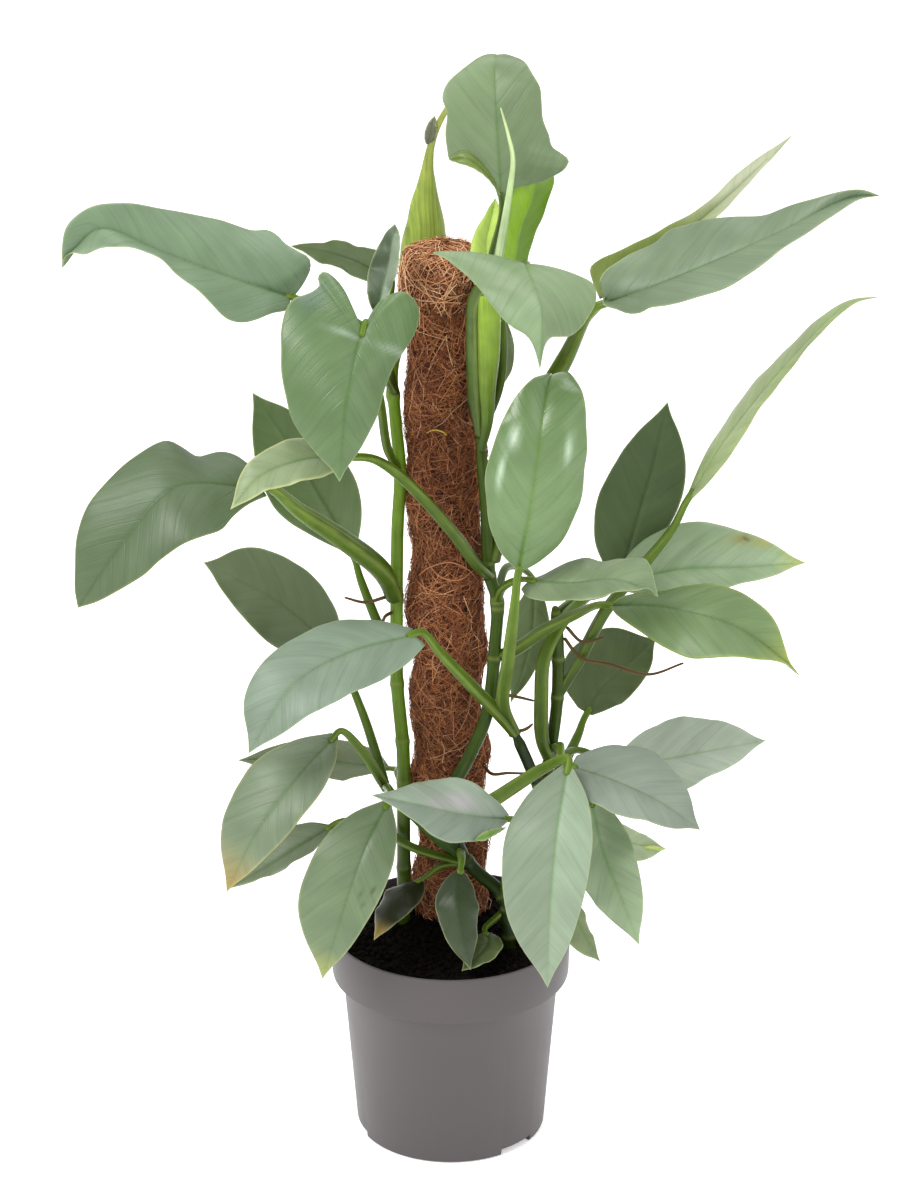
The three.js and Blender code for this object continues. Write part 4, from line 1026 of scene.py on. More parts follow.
# Stems, with the heights of bare rings measured along them.
STEMS = [
    dict(
        name="stem_left", radius=5, foot=[-33, 8], top=4, tint="#465e0c", top_tint="#618018",
        rings=[78, 128, 176, 220],
        route=[
            [-33, 8, 165], [-33, 8, 230], [-33, 8, 287], [-37, 8, 340], [-37, 10, 383], [-36, 12, 450],
            [-34, 14, 492], [-37, 17, 530], [-39, 24, 560], [-34, 46, 574], [-23, 62, 592],
        ],
    ),
    dict(
        name="stem_right", radius=5, foot=[41, -25], top=4, tint="#213504", top_tint="#394f06",
        rings=[40, 300],
        route=[
            [41, -25, 165], [37, -20, 187], [16, -14, 206], [7, -13, 218], [3, -14, 243], [1, -14, 265],
            [13, -14, 292], [25, -10, 322], [31, -4, 376], [32, 0, 404], [27, 3, 421], [24, 0, 477],
            [20, -3, 524],
        ],
    ),
    dict(
        name="stem_centre", radius=4.5, foot=[60, -8], top=4, tint="#121f02", top_tint="#1a2904",
        rings=[52, 110, 150],
        route=[[60, -8, 165], [62, -7, 215], [62, -6, 262], [55, -10, 283], [45, -16, 310]],
    ),
    dict(
        name="stem_side", radius=4.6, foot=[62, 14], top=4.2, tint="#233304", top_tint="#344906",
        rings=[48, 150, 240],
        route=[
            [62, 14, 165], [63, 10, 215], [66, 7, 258], [70, 5, 289], [74, 5, 326], [74, 6, 372],
            [72, 8, 396],
        ],
    ),
]

# Branches, each grown from its stem.
BRANCHES = [
    dict(
        stem="stem_right", radii=[4.4, 3.4], tints=("#2c4218", "#3c5220"),
        route=[[7, -13, 218], [-7, -18, 230], [-27, -24, 254], [-44, -25, 273]],
    ),
    dict(
        stem="stem_right", radii=[2.4, 4, 5.6, 7.2, 7.8, 7.2], tints=("#3a5218", "#84a034"),
        route=[[21, -4, 514], [25, -8, 538], [25, -8, 562], [26, -9, 588], [26, -10, 610], [26, -10, 628]],
    ),
]

# Leaves still rolled up, and the dry thread at the tip of one. The seam is the step at the free edge.
ROLLED = [
    dict(
        name="leaf_rolled_young", node="leaf_rolled_young",
        radii=[15, 17.5, 18, 16.6, 14, 11.2, 7.4, 4.4, 2.9, 2.5, 2.2, 0.8],
        tints=("#6c7f2c", "#84963e", "#8c8f4a"), seam=0.12,
        route=[
            [-18, 66, 598], [-18, 66, 611], [-18, 66, 625], [-18, 66, 638], [-17, 67, 651], [-17, 68, 664],
            [-16, 68, 678], [-15, 68, 692], [-13, 68, 705], [-9, 68, 718], [-3, 68, 730], [1, 68, 739],
        ],
    ),
    dict(
        name="dry_leaf_thread", node=None, radii=[0.7, 0.5, 0.4, 0.3],
        tints=("#a89a4c", "#b5a14a", "#a8893a"), seam=0,
        route=[[0, 68, 737], [3, 68, 744], [8, 67, 748], [13, 66, 747], [17, 64, 744]],
    ),
    dict(
        name="leaf_new_spear", node="leaf_new_spear", radii=[3, 3.3, 3.3, 2.8, 2.2, 1.5, 0.6],
        tints=("#8b9c6c", "#9cb082", "#a4b982"), seam=0.16,
        route=[
            [25.9, -6, 598], [28, -12, 626], [32, -16, 654], [36, -17, 680], [39, -17, 700], [41, -17, 721],
            [38, -17, 737], [33, -15, 755],
        ],
    ),
]

# Smaller bits of blade: folded, turned, curled or dry parts of the leaves.
BITS = [
    dict(
        # Halves: the dark half is painted shade in the fold of the lobe.
        name="turned_lobe", node=None, tint="#55654b", halves=("#39482f", "#75836e"), under="#6a7a62",
        wave=0.3, cup=0.02, ridge=0.2, groove=0.2,
        rib=[[-47.3, -52, 627.7], [-44.3, -34.5, 637.7], [-39.8, -20.5, 653.7], [-35.8, -16.5, 677.1]],
        left=[-53, -20.5, 648.3], right=[-35, -38.5, 649.3],
        outline=[
            [
                [-49.3, -50.5, 626.5], [-52.5, -50.5, 634.8], [-54.1, -34.5, 640.4],
                [-53, -20.5, 648.3], [-49.6, -20.5, 657.8], [-45.8, -12.5, 662.9],
                [-41.2, -10.5, 670.4], [-35.8, -16.5, 677.1],
            ], [
                [-45.4, -50.5, 627.2], [-41.4, -50.5, 634.1], [-38.4, -34.5, 637.7],
                [-35, -38.5, 649.3], [-33.1, -28.5, 656.3], [-32.4, -28.5, 666.5],
                [-33.2, -16.5, 671.6], [-35.8, -16.5, 677.1],
            ],
        ],
    ),
    dict(
        name="folded_lobe", node=None, tint="#5f7030", under="#5a6b2d",
        wave=0, cup=0.12, ridge=0.1, groove=0,
        rib=[[0, -1, 716], [11, -5, 718], [22, -5, 710], [34, -3, 691]],
        left=[18, -7, 716], right=[17, -8, 711],
        outline=[
            [[0, -1, 717], [5, -1, 721], [11, -1, 722], [20, -1, 715], [28, -2, 705], [34, -3, 691]],
            [[0, -1, 716], [5, -6, 715], [13, -8, 713], [20, -8, 709], [26, -6, 703], [34, -3, 691]],
        ],
    ),
    dict(
        name="dry_scale", node=None, tint="#5a5c48", under="#4c4e3c",
        wave=0.5, ridge=0.2, groove=0,
        rib=[[-15, 66.8, 707], [-13, 65.8, 714], [-12, 65.8, 720], [-10, 67.8, 727]],
        left=[-17, 66.8, 715], right=[-8.5, 64.6, 716],
    ),
    dict(
        name="curled_edge", node=None, tint="#6c8546", under="#647c3f",
        wave=0, cup=0.1, ridge=0.1, groove=0,
        rib=[[16.7, -122.5, 281.6], [24.1, -114, 280.1], [31.6, -102.5, 278.2], [38.5, -84, 272.2]],
        left=[26.8, -106.5, 280.9], right=[27.5, -108, 276],
        outline=[
            [
                [16.7, -121.5, 281.5], [21.4, -114.5, 282.6], [26.8, -106.5, 280.9],
                [32.3, -98.5, 278.5], [38.5, -84, 272.2],
            ], [
                [16.7, -122.5, 281.3], [22.1, -116, 277.3], [27.5, -108, 276],
                [33, -99, 275], [38.5, -84, 272.2],
            ],
        ],
    ),
    dict(
        name="small_leaf_low", node=None, tint="#b9c56f", under="#b9c56f",
        wave=0.5, ridge=0.3,
        rib=[[131.8, 27, 199.4], [138.7, 25, 201.2], [145.1, 24, 202.5], [152.8, 23, 202.9]],
        left=[141.5, 25, 204.7], right=[142.3, 24.5, 198.3],
    ),
]

# Aerial roots, from inside a stem to the tip.
ROOTS = [
    [[-44, 5, 404], [-58, -2, 403], [-72, -8, 409]],
    [[-40, 6.6, 392], [-45, 0, 391], [-48, -4, 380]],
    [[78.4, 4, 374], [90, 2, 360], [110, 2, 355], [136, -4, 350], [160, -12, 362]],
    [[80, 4, 382], [91, 4, 371], [106, 5, 374]],
    [[32.4, -9.4, 338], [46, -6, 334], [58, -4, 330]],
    [[47.4, -16, 312.6], [51, -14.6, 313], [54, -13, 314], [57, -11, 316]],
    [[22.6, 12, 275], [29, -1, 273], [40, -6, 276], [51.8, -8.4, 277], [54.5, -8.8, 278]],
]

# Tints of the tissue
UNDERSIDE = "#5a6d48"
UNDER_GLOSS = 0.15
EDGE_TINT = "#a3ad78"
RIB_SHADE = (0.62, 0.8, 0.5, 1)
# Painted shade: stems are darker among the low leaves, where shade falls, and this fades out between two
# heights.
FOOT_SHADE = 0.5
FOOT_SHADE_FADE = (200, 320)
STALK_FOOT_TINT = "#31440a"
STALK_TINT = "#526c16"
WING_TINT = "#7c8c42"
NODE_TINT = "#6f7c34"
ROOT_TINT = "#4f3c17"


# Materials

def leaf_surface(name, roughness, vein_height):
    """Leaf tissue in its own tint, with slanting side veins, clouds of wax and its own gloss."""
    material, tree = new_material(name)
    place = add(tree, "ShaderNodeAttribute", attribute_name="grown_place").outputs["Vector"]
    grown = add(tree, "ShaderNodeAttribute", attribute_name="tissue_tint")
    where = add(tree, "ShaderNodeTexCoord").outputs["Object"]
    cloud = add(tree, "ShaderNodeTexNoise", {"Vector": where, "Scale": 24.0, "Detail": 3.0})
    # Lines that leave the rib at a slant, bow towards the tip and stray a little.
    spot = add(tree, "ShaderNodeSeparateXYZ", {0: place})
    from_rib = add(tree, "ShaderNodeMath", {0: spot.outputs[0]}, operation="ABSOLUTE")
    bowed = add(tree, "ShaderNodeMath", {0: from_rib, 1: 1.12}, operation="POWER")
    lean = add(tree, "ShaderNodeMath", {0: bowed, 1: 0.85}, operation="MULTIPLY")
    straight = add(tree, "ShaderNodeMath", {0: spot.outputs[1], 1: lean}, operation="SUBTRACT")
    strayed = add(tree, "ShaderNodeMath", {0: cloud, 1: 5.0, 2: straight}, operation="MULTIPLY_ADD")
    slant = add(tree, "ShaderNodeMath", {0: from_rib, 1: 0.035}, operation="MULTIPLY")
    # Fine and broad stripes along these lines, and a side vein at every spacing.
    fine_step = add(tree, "ShaderNodeMath", {0: strayed, 1: 0.9}, operation="MULTIPLY")
    fine_place = add(tree, "ShaderNodeCombineXYZ", {0: fine_step, 1: slant})
    fine = add(tree, "ShaderNodeTexNoise",
        {"Vector": fine_place, "Scale": 1.0, "Detail": 3.0, "Roughness": 0.6})
    broad_step = add(tree, "ShaderNodeMath", {0: strayed, 1: 0.12}, operation="MULTIPLY")
    broad_place = add(tree, "ShaderNodeCombineXYZ", {0: broad_step, 1: slant})
    broad = add(tree, "ShaderNodeTexNoise", {"Vector": broad_place, "Scale": 1.0, "Detail": 1.0})
    around = add(tree, "ShaderNodeMath", {0: strayed, 1: math.tau / VEIN_SPACING}, operation="MULTIPLY")
    wave = add(tree, "ShaderNodeMath", {0: around}, operation="SINE")
    vein = add(tree, "ShaderNodeMapRange", {0: wave, 1: 0.93, 2: 1.0}, interpolation_type="SMOOTHSTEP")
    vein_shade = add(tree, "ShaderNodeMapRange", {0: vein, 1: 0.0, 2: 1.0, 3: 1.0, 4: 0.94})
    fine_shade = add(tree, "ShaderNodeMapRange", {0: fine, 1: 0.3, 2: 0.7, 3: 0.93, 4: 1.06})
    broad_shade = add(tree, "ShaderNodeMapRange", {0: broad, 1: 0.3, 2: 0.7, 3: 0.92, 4: 1.06})
    cloud_shade = add(tree, "ShaderNodeMapRange", {0: cloud, 1: 0.3, 2: 0.7, 3: 0.9, 4: 1.08})
    # All of them shade the tissue's own tint.
    striped = add(tree, "ShaderNodeMath", {0: fine_shade, 1: broad_shade}, operation="MULTIPLY")
    veined = add(tree, "ShaderNodeMath", {0: striped, 1: vein_shade}, operation="MULTIPLY")
    mottled = add(tree, "ShaderNodeMath", {0: veined, 1: cloud_shade}, operation="MULTIPLY")
    colour = add(tree, "ShaderNodeVectorMath", {0: grown, "Scale": mottled}, operation="SCALE")
    # Waxy patches are a little duller, and glossy leaves smoother.
    dull = add(tree, "ShaderNodeMapRange",
        {0: cloud, 1: 0.3, 2: 0.7, 3: roughness - 0.04, 4: roughness + 0.06})
    gloss = add(tree, "ShaderNodeMath", {0: grown.outputs["Alpha"], 1: 0.26}, operation="MULTIPLY")
    rough = add(tree, "ShaderNodeMath", {0: dull, 1: gloss}, operation="SUBTRACT")
    folds = add(tree, "ShaderNodeMath", {0: fine, 1: 0.5, 2: broad}, operation="MULTIPLY_ADD")
    relief = add(tree, "ShaderNodeMath", {0: vein, 1: -0.3, 2: folds}, operation="MULTIPLY_ADD")
    finish_material(tree, {"Base Color": colour, "Roughness": rough, "IOR": 1.42}, relief, vein_height, 0.5)
    return material


# Waxy leaf blade: the wax gives the silver cast and a broad soft sheen.
blade_upper = leaf_surface("waxy_leaf_blade_upper_side", 0.47, 0.0006)
# Leaf underside: no wax, so it is duller and greener.
blade_under = leaf_surface("leaf_blade_underside", 0.58, 0.0003)
# Young leaf and sheath: thin tender tissue, smooth and bright.
young_tissue = leaf_surface("tender_sheath_tissue", 0.45, 0.0002)


def streaked_surface(name, roughness, across, along, low, high):
    """Smooth plant skin with fine lengthwise streaks in its own tint."""
    material, tree = new_material(name)
    place = add(tree, "ShaderNodeAttribute", attribute_name="grown_place").outputs["Vector"]
    grown = add(tree, "ShaderNodeAttribute", attribute_name="tissue_tint")
    stretched = add(tree, "ShaderNodeMapping", {"Vector": place, "Scale": (across, along, 1.0)})
    streak = add(tree, "ShaderNodeTexNoise", {"Vector": stretched, "Scale": 1.0, "Detail": 3.0})
    where = add(tree, "ShaderNodeTexCoord").outputs["Object"]
    cloud = add(tree, "ShaderNodeTexNoise", {"Vector": where, "Scale": 70.0, "Detail": 2.0})
    streak_shade = add(tree, "ShaderNodeMapRange", {0: streak, 1: 0.3, 2: 0.7, 3: low, 4: high})
    cloud_shade = add(tree, "ShaderNodeMapRange", {0: cloud, 1: 0.3, 2: 0.7, 3: 0.84, 4: 1.12})
    mottled = add(tree, "ShaderNodeMath", {0: streak_shade, 1: cloud_shade}, operation="MULTIPLY")
    colour = add(tree, "ShaderNodeVectorMath", {0: grown, "Scale": mottled}, operation="SCALE")
    finish_material(tree, {"Base Color": colour, "Roughness": roughness, "IOR": 1.29}, streak, 0.0003, 0.4)
    return material


# Green stems and stalks: smooth and slightly glossy.
stem_skin = streaked_surface("smooth_green_stem", 0.32, 1.3, 0.05, 0.8, 1.15)
# A leaf still rolled up: pressed folds show as lengthwise streaks.
furled_skin = streaked_surface("furled_young_leaf", 0.46, 0.55, 0.012, 0.68, 1.25)


def coir_surface(name, dark, middle, pale):
    """Coconut fibre: dry, dull, each strand its own brown."""
    material, tree = new_material(name)
    shade = add(tree, "ShaderNodeAttribute", attribute_name="fibre_shade").outputs["Fac"]
    low = add(tree, "ShaderNodeMapRange", {0: shade, 1: 0.0, 2: 0.55})
    high = add(tree, "ShaderNodeMapRange", {0: shade, 1: 0.55, 2: 1.0})
    brown = add(tree, "ShaderNodeMix", {0: low, 6: linear(dark), 7: linear(middle)}, data_type="RGBA")
    colour = add(tree, "ShaderNodeMix", {0: high, 6: brown.outputs[2], 7: linear(pale)}, data_type="RGBA")
    finish_material(tree, {"Base Color": colour.outputs[2], "Roughness": 0.8, "IOR": 1.5})
    return material


# Coir strands: red-brown dry husk fibre.
coir_strand = coir_surface("dry_coir_strands", "#4e2410", "#94552f", "#cc8c58")
# Pale outer strands, bleached by light.
pale_strand = coir_surface("bleached_coir_strands", "#a87048", "#c89468", "#e0b68c")


def grained_surface(name, scales, tints, roughness, height, strength, patch_shades, ior=1.48):
    """A dull material with a fine grain between two tints, and broad lighter and darker patches."""
    material, tree = new_material(name)
    where = add(tree, "ShaderNodeTexCoord").outputs["Object"]
    grain = add(tree, "ShaderNodeTexNoise", {"Vector": where, "Scale": scales[0], "Detail": 4.0})
    patch = add(tree, "ShaderNodeTexNoise", {"Vector": where, "Scale": scales[1], "Detail": 2.0})
    grain_share = add(tree, "ShaderNodeMapRange", {0: grain, 1: 0.32, 2: 0.72})
    low, high = (linear(code) for code in tints)
    tint = add(tree, "ShaderNodeMix", {0: grain_share, 6: low, 7: high}, data_type="RGBA")
    patch_shade = add(tree, "ShaderNodeMapRange",
        {0: patch, 1: 0.3, 2: 0.7, 3: patch_shades[0], 4: patch_shades[1]})
    colour = add(tree, "ShaderNodeVectorMath",
        {0: tint.outputs[2], "Scale": patch_shade}, operation="SCALE")
    rough = add(tree, "ShaderNodeMapRange",
        {0: patch, 1: 0.3, 2: 0.7, 3: roughness - 0.04, 4: roughness + 0.05})
    finish_material(tree, {"Base Color": colour, "Roughness": rough, "IOR": ior}, grain, height, strength)
    return material


# The dark mat of fibre under the strands.
felt = grained_surface(
    "matted_coir_felt", (420.0, 60.0), ("#241008", "#5c3014"), 0.9, 0.001, 0.8, (0.65, 1.1))
# Moist peat potting soil: nearly black, with brown crumbs.
soil_crumb = grained_surface(
    "moist_potting_soil", (260.0, 45.0), ("#030201", "#120b07"), 0.93, 0.002, 0.9, (0.6, 1.2), 1.18)
# Injection-moulded polypropylene: taupe grey, satin, with the faintest grain.
pot_plastic = grained_surface(
    "moulded_taupe_polypropylene", (900.0, 12.0), ("#423c3d", "#453e3f"), 0.46, 0.00005, 0.3,
    (0.96, 1.04))


def wood_surface():
    """Turned softwood stick: straight grain along its length."""
    material, tree = new_material("turned_softwood")
    where = add(tree, "ShaderNodeTexCoord").outputs["Object"]
    stretched = add(tree, "ShaderNodeMapping", {"Vector": where, "Scale": (400.0, 400.0, 14.0)})
    grain = add(tree, "ShaderNodeTexNoise", {"Vector": stretched, "Scale": 1.0, "Detail": 4.0})
    share = add(tree, "ShaderNodeMapRange", {0: grain, 1: 0.3, 2: 0.7})
    dark, pale = linear("#8f6d42"), linear("#b8935f")
    colour = add(tree, "ShaderNodeMix", {0: share, 6: dark, 7: pale}, data_type="RGBA").outputs[2]
    finish_material(tree, {"Base Color": colour, "Roughness": 0.75, "IOR": 1.5}, grain, 0.0003, 0.5)
    return material


stick_wood = wood_surface()


def plain_surface(name, code, roughness):
    """A surface of one colour."""
    material, tree = new_material(name)
    finish_material(tree, {"Base Color": linear(code), "Roughness": roughness})
    return material


# Yellow twine that ties a stem to the pole.
tie_twine = plain_surface("yellow_garden_twine", "#b59a36", 0.7)


# Leaves, sheaths, stems and roots

for leaf in LEAVES:
    grow_blade(leaf, blade_upper, blade_under)
for sheath in SHEATHS:
    grow_blade(sheath, young_tissue, young_tissue)
for bit in BITS:
    grow_blade(bit, blade_upper, blade_under)
for stem in STEMS:
    grow_stem(stem)


def furl_leaf(young):
    """A leaf still rolled up: each turn lies a little prouder than the one before, up to its free edge."""
    def outline(angles, share):
        return 1 - young["seam"] * (angles / math.tau)

    route = smooth_path(young["route"])
    points, faces, places = tube(route, young["radii"], 36, (0.4, -1, 0), profile=outline)
    share = share_along(places) * 2
    low, middle, high = (tissue(code) for code in young["tints"])
    tints = np.where(share < 1, low + (middle - low) * share, middle + (high - middle) * (share - 1))
    name = young["name"] + "_furled"
    put_piece(name, points, faces, [furled_skin], young["node"], places, tints)


for young in ROLLED:
    furl_leaf(young)

for number, route in enumerate(ROOTS, 1):
    points, faces, places = tube(smooth_path(route, 1.0), [1.3, 1.2, 0.8], 10)
    tints = np.tile(linear(ROOT_TINT), (len(points), 1))
    node = f"aerial_root_{number}"
    put_piece(node + "_grown", points, faces, [stem_skin], node, places, tints)


# Pot

def shell_faces(turns, rings):
    """Faces of a closed shell: a fan at its foot, bands between its rings and a fan at its top."""
    faces = []
    last = 1 + (rings - 1) * turns
    for turn in range(turns):
        after = (turn + 1) % turns
        faces.append((0, 1 + after, 1 + turn))
        for ring in range(rings - 1):
            a, b = 1 + ring * turns + turn, 1 + ring * turns + after
            faces.append((a, b, b + turns, a + turns))
        faces.append((last + turn, last + after, last + turns))
    return faces


def lathe(profile, turns):
    """A closed shell turned from a profile that starts and ends on the axis."""
    points = [(0, 0, profile[0][1])]
    for radius, height in profile[1:-1]:
        for turn in range(turns):
            angle = math.tau * turn / turns
            points.append((math.cos(angle) * radius, math.sin(angle) * radius, height))
    points.append((0, 0, profile[-1][1]))
    return points, shell_faces(turns, len(profile) - 2)


def make_pot():
    """The nursery pot: a rim band over a tapered wall, a foot with notches and holes in a sunk ring."""
    inner, outer = CHANNEL_RADII
    # From the middle of the underside outwards, up the outside and down the inside, with eased edges.
    profile = [
        (0, 0), (inner, 0), (inner + 1, CHANNEL_DEPTH), (outer - 1, CHANNEL_DEPTH), (outer, 0),
        (POT_FOOT_RADIUS - 1.2, 0), (POT_FOOT_RADIUS - 0.3, 0.5), (POT_FOOT_RADIUS + 0.1, 1.6),
        (POT_NECK_RADIUS - 0.1, POT_NECK - 1.2), (POT_NECK_RADIUS + 0.4, POT_NECK - 0.3),
        (POT_BAND_FOOT_RADIUS - 1.5, POT_BAND_FOOT - 1.2),
        (POT_BAND_FOOT_RADIUS - 0.3, POT_BAND_FOOT - 0.4),
        (POT_BAND_FOOT_RADIUS, POT_BAND_FOOT + 0.8), (POT_RIM_RADIUS, POT_HEIGHT - 1.4),
        (POT_RIM_RADIUS - 0.3, POT_HEIGHT - 0.4), (POT_RIM_RADIUS - 1, POT_HEIGHT),
        (POT_RIM_RADIUS - POT_WALL + 0.3, POT_HEIGHT - 0.2), (POT_RIM_RADIUS - POT_WALL, POT_HEIGHT - 1),
        (POT_BAND_FOOT_RADIUS - POT_WALL, POT_BAND_FOOT + POT_WALL),
        (POT_NECK_RADIUS - POT_WALL, POT_NECK + POT_WALL),
        (POT_FOOT_RADIUS - POT_WALL, POT_FLOOR), (0, POT_FLOOR),
    ]
    points, faces = lathe(profile, POT_TURNS)
    pot = put_piece("pot_moulded", points, faces, [pot_plastic], "pot")
    # Drain holes in the sunk ring, and notches in the foot.
    cutters = []
    ring = sum(CHANNEL_RADII) / 2
    for hole in range(DRAIN_HOLES):
        angle = math.tau * hole / DRAIN_HOLES
        bpy.ops.mesh.primitive_cylinder_add(
            vertices=24, radius=DRAIN_HOLE_RADIUS * MM, depth=POT_FLOOR * 4 * MM,
            location=(math.cos(angle) * ring * MM, math.sin(angle) * ring * MM, 0))
        cutters.append(bpy.context.object)
    width, reach, height = (size * MM for size in FOOT_NOTCH_SIZE)
    for notch in range(FOOT_NOTCHES):
        angle = math.radians(FOOT_NOTCH_FIRST + notch * 360 / FOOT_NOTCHES)
        bpy.ops.mesh.primitive_cube_add(
            size=1, scale=(width, reach, height), rotation=(0, 0, angle),
            location=(math.sin(angle) * POT_FOOT_RADIUS * MM, -math.cos(angle) * POT_FOOT_RADIUS * MM, 0))
        cutters.append(bpy.context.object)
    for cutter in cutters:
        cut = pot.modifiers.new("opening", "BOOLEAN")
        cut.operation = "DIFFERENCE"
        cut.solver = "EXACT"
        cut.object = cutter
    plain_mesh(pot)
    for cutter in cutters:
        bpy.data.objects.remove(cutter)
    pot.data.polygons.foreach_set("use_smooth", [True] * len(pot.data.polygons))
    pot.data.set_sharp_from_angle(angle=math.radians(POT_SHARP_FROM))


make_pot()


# Soil

def soil_height(x, y):
    """Height of the soil: level at the wall, heaped at the pole, crumbly all over."""
    from_pole = math.hypot(x - POLE_FOOT[0], y - POLE_FOOT[1]) / POT_RIM_RADIUS
    from_wall = max(0, 1 - math.hypot(x, y) / (POT_RIM_RADIUS - POT_WALL))
    heap = SOIL_HEAP * math.exp(-4 * from_pole ** 2) * min(1, from_wall * 2.5)
    broad = 0.9 * math.sin(x * 0.21 + 1.3) * math.cos(y * 0.17)
    middling = 0.7 * math.sin(x * 0.63) * math.sin(y * 0.57 + 2)
    fine = 0.45 * math.sin(x * 1.3 + y * 0.9)
    return SOIL_EDGE + heap + (broad + middling + fine) * min(1, from_wall * 6)


def make_soil():
    """The root ball: a plug that fills the pot, with an uneven top."""
    gap = 0.3
    clear = POT_WALL + gap
    rims = [
        (POT_FOOT_RADIUS - clear, POT_FLOOR + gap), (POT_NECK_RADIUS - clear, POT_NECK + clear),
        (POT_BAND_FOOT_RADIUS - clear, POT_BAND_FOOT + clear),
        (POT_RIM_RADIUS - clear - 0.2, SOIL_EDGE),
    ]
    turns, rings = 120, 34
    rims += [((POT_RIM_RADIUS - clear) * (1 - step / rings), 0) for step in range(1, rings)]
    points, faces = lathe([(0, POT_FLOOR + gap), *rims, (0, 0)], turns)
    sides = 1 + 4 * turns
    points[sides:] = [(x, y, soil_height(x, y)) for x, y, z in points[sides:]]
    put_piece("soil_bed", points, faces, [soil_crumb], "soil")


make_soil()


def crumb_tree(material):
    """Crumbs of many sizes strewn over the top of the soil."""
    tree, inputs = open_tree("strewn_crumbs", (
        ("Geometry", "NodeSocketGeometry", None), ("Density", "NodeSocketFloat", 60000.0),
        ("Smallest", "NodeSocketFloat", 0.0006), ("Largest", "NodeSocketFloat", 0.0028),
        ("Seed", "NodeSocketInt", 1),
    ))
    given = add(tree, "NodeGroupInput").outputs
    spots = add(tree, "GeometryNodeDistributePointsOnFaces",
        {"Mesh": given["Geometry"], "Density": given["Density"], "Seed": given["Seed"]})
    ball = add(tree, "GeometryNodeMeshIcoSphere", {"Radius": 1.0, "Subdivisions": 2})
    size = add(tree, "FunctionNodeRandomValue",
        {2: given["Smallest"], 3: given["Largest"], "Seed": given["Seed"]},
        data_type="FLOAT").outputs[1]
    squash = add(tree, "FunctionNodeRandomValue", {0: (0.6, 0.6, 0.5), 1: (1.3, 1.3, 1.0), "Seed": 5},
        data_type="FLOAT_VECTOR").outputs[0]
    scale = add(tree, "ShaderNodeVectorMath", {0: squash, "Scale": size}, operation="SCALE")
    turned = add(tree, "FunctionNodeRandomValue", {0: (0.0, 0.0, 0.0), 1: (6.3, 6.3, 6.3), "Seed": 9},
        data_type="FLOAT_VECTOR").outputs[0]
    placed = add(tree, "GeometryNodeInstanceOnPoints",
        {"Points": spots, "Instance": ball, "Rotation": turned, "Scale": scale})
    real = add(tree, "GeometryNodeRealizeInstances", {0: placed})
    here = add(tree, "GeometryNodeInputPosition")
    noise = add(tree, "ShaderNodeTexNoise", {"Vector": here, "Scale": 700.0, "Detail": 2.0})
    centred = add(tree, "ShaderNodeVectorMath",
        {0: noise.outputs["Color"], 1: (0.5, 0.5, 0.5)}, operation="SUBTRACT")
    shift = add(tree, "ShaderNodeVectorMath", {0: centred, "Scale": 0.0016}, operation="SCALE")
    rugged = add(tree, "GeometryNodeSetPosition", {"Geometry": real, "Offset": shift})
    dressed = add(tree, "GeometryNodeSetMaterial", {"Geometry": rugged, "Material": material})
    add(tree, "NodeGroupOutput", {0: dressed})
    return tree, inputs


def strew_crumbs():
    """Loose crumbs over the soil between the stems and the rim."""
    turns, rings, first, last = 60, 16, 4, 78
    mesh = bpy.data.meshes.new("soil_crumbs")
    points, faces = [], []
    for ring in range(rings):
        radius = first + (last - first) * ring / (rings - 1)
        for turn in range(turns):
            x, y = (radius * f(math.tau * turn / turns) for f in (math.cos, math.sin))
            points.append((x * MM, y * MM, (soil_height(x, y) + 0.3) * MM))
            if ring:
                a, b = (ring - 1) * turns + turn, (ring - 1) * turns + (turn + 1) % turns
                faces.append((a, a + turns, b + turns, b))
    mesh.from_pydata(points, [], faces)
    tree, inputs = crumb_tree(soil_crumb)
    crumbs = run_tree("soil_crumbs", tree, inputs, {"Density": 62000.0, "Seed": 4}, mesh)
    settle(crumbs, "soil")


strew_crumbs()


# Coir pole

def pole_axis(z):
    """The pole's middle at a height."""
    along = (z - POLE_FOOT[2]) / (POLE_TOP[2] - POLE_FOOT[2])
    return POLE_FOOT[0] + (POLE_TOP[0] - POLE_FOOT[0]) * along, POLE_FOOT[1]


def pole_swell(angle, z):
    """How far the fibre swells out between the turns of its tie."""
    lump = POLE_LUMP * math.cos(angle - math.tau * z / POLE_TIE_PITCH)
    swells = (size * math.sin(turns * angle + rate * z + phase) for turns, rate, size, phase in POLE_SWELLS)
    return lump + sum(swells)


def make_felt():
    """The mat of fibre under the strands, swollen between the turns of its tie."""
    turns, rows = 72, 200
    rims = [POLE_FOOT[2] + (POLE_TOP[2] - 4 - POLE_FOOT[2]) * row / rows for row in range(rows + 1)]
    points = [(*pole_axis(rims[0]), rims[0])]
    for z in rims:
        cx, cy = pole_axis(z)
        crown = max(0, z - (POLE_TOP[2] - FELT_CROWN)) / FELT_CROWN
        shoulder = 0.72 + 0.28 * math.sqrt(1 - crown ** 2)
        free = min(1, max(0, (z - POLE_LUMP_FROM) / POLE_LUMP_RISE))
        for turn in range(turns):
            angle = math.tau * turn / turns
            radius = (POLE_RADIUS - FELT_DEPTH + pole_swell(angle, z) * free) * shoulder
            points.append((cx + math.cos(angle) * radius, cy + math.sin(angle) * radius, z))
    points.append((*pole_axis(rims[-1]), rims[-1]))
    put_piece("coir_felt", points, shell_faces(turns, len(rims)), [felt], "coir_wrap")


make_felt()


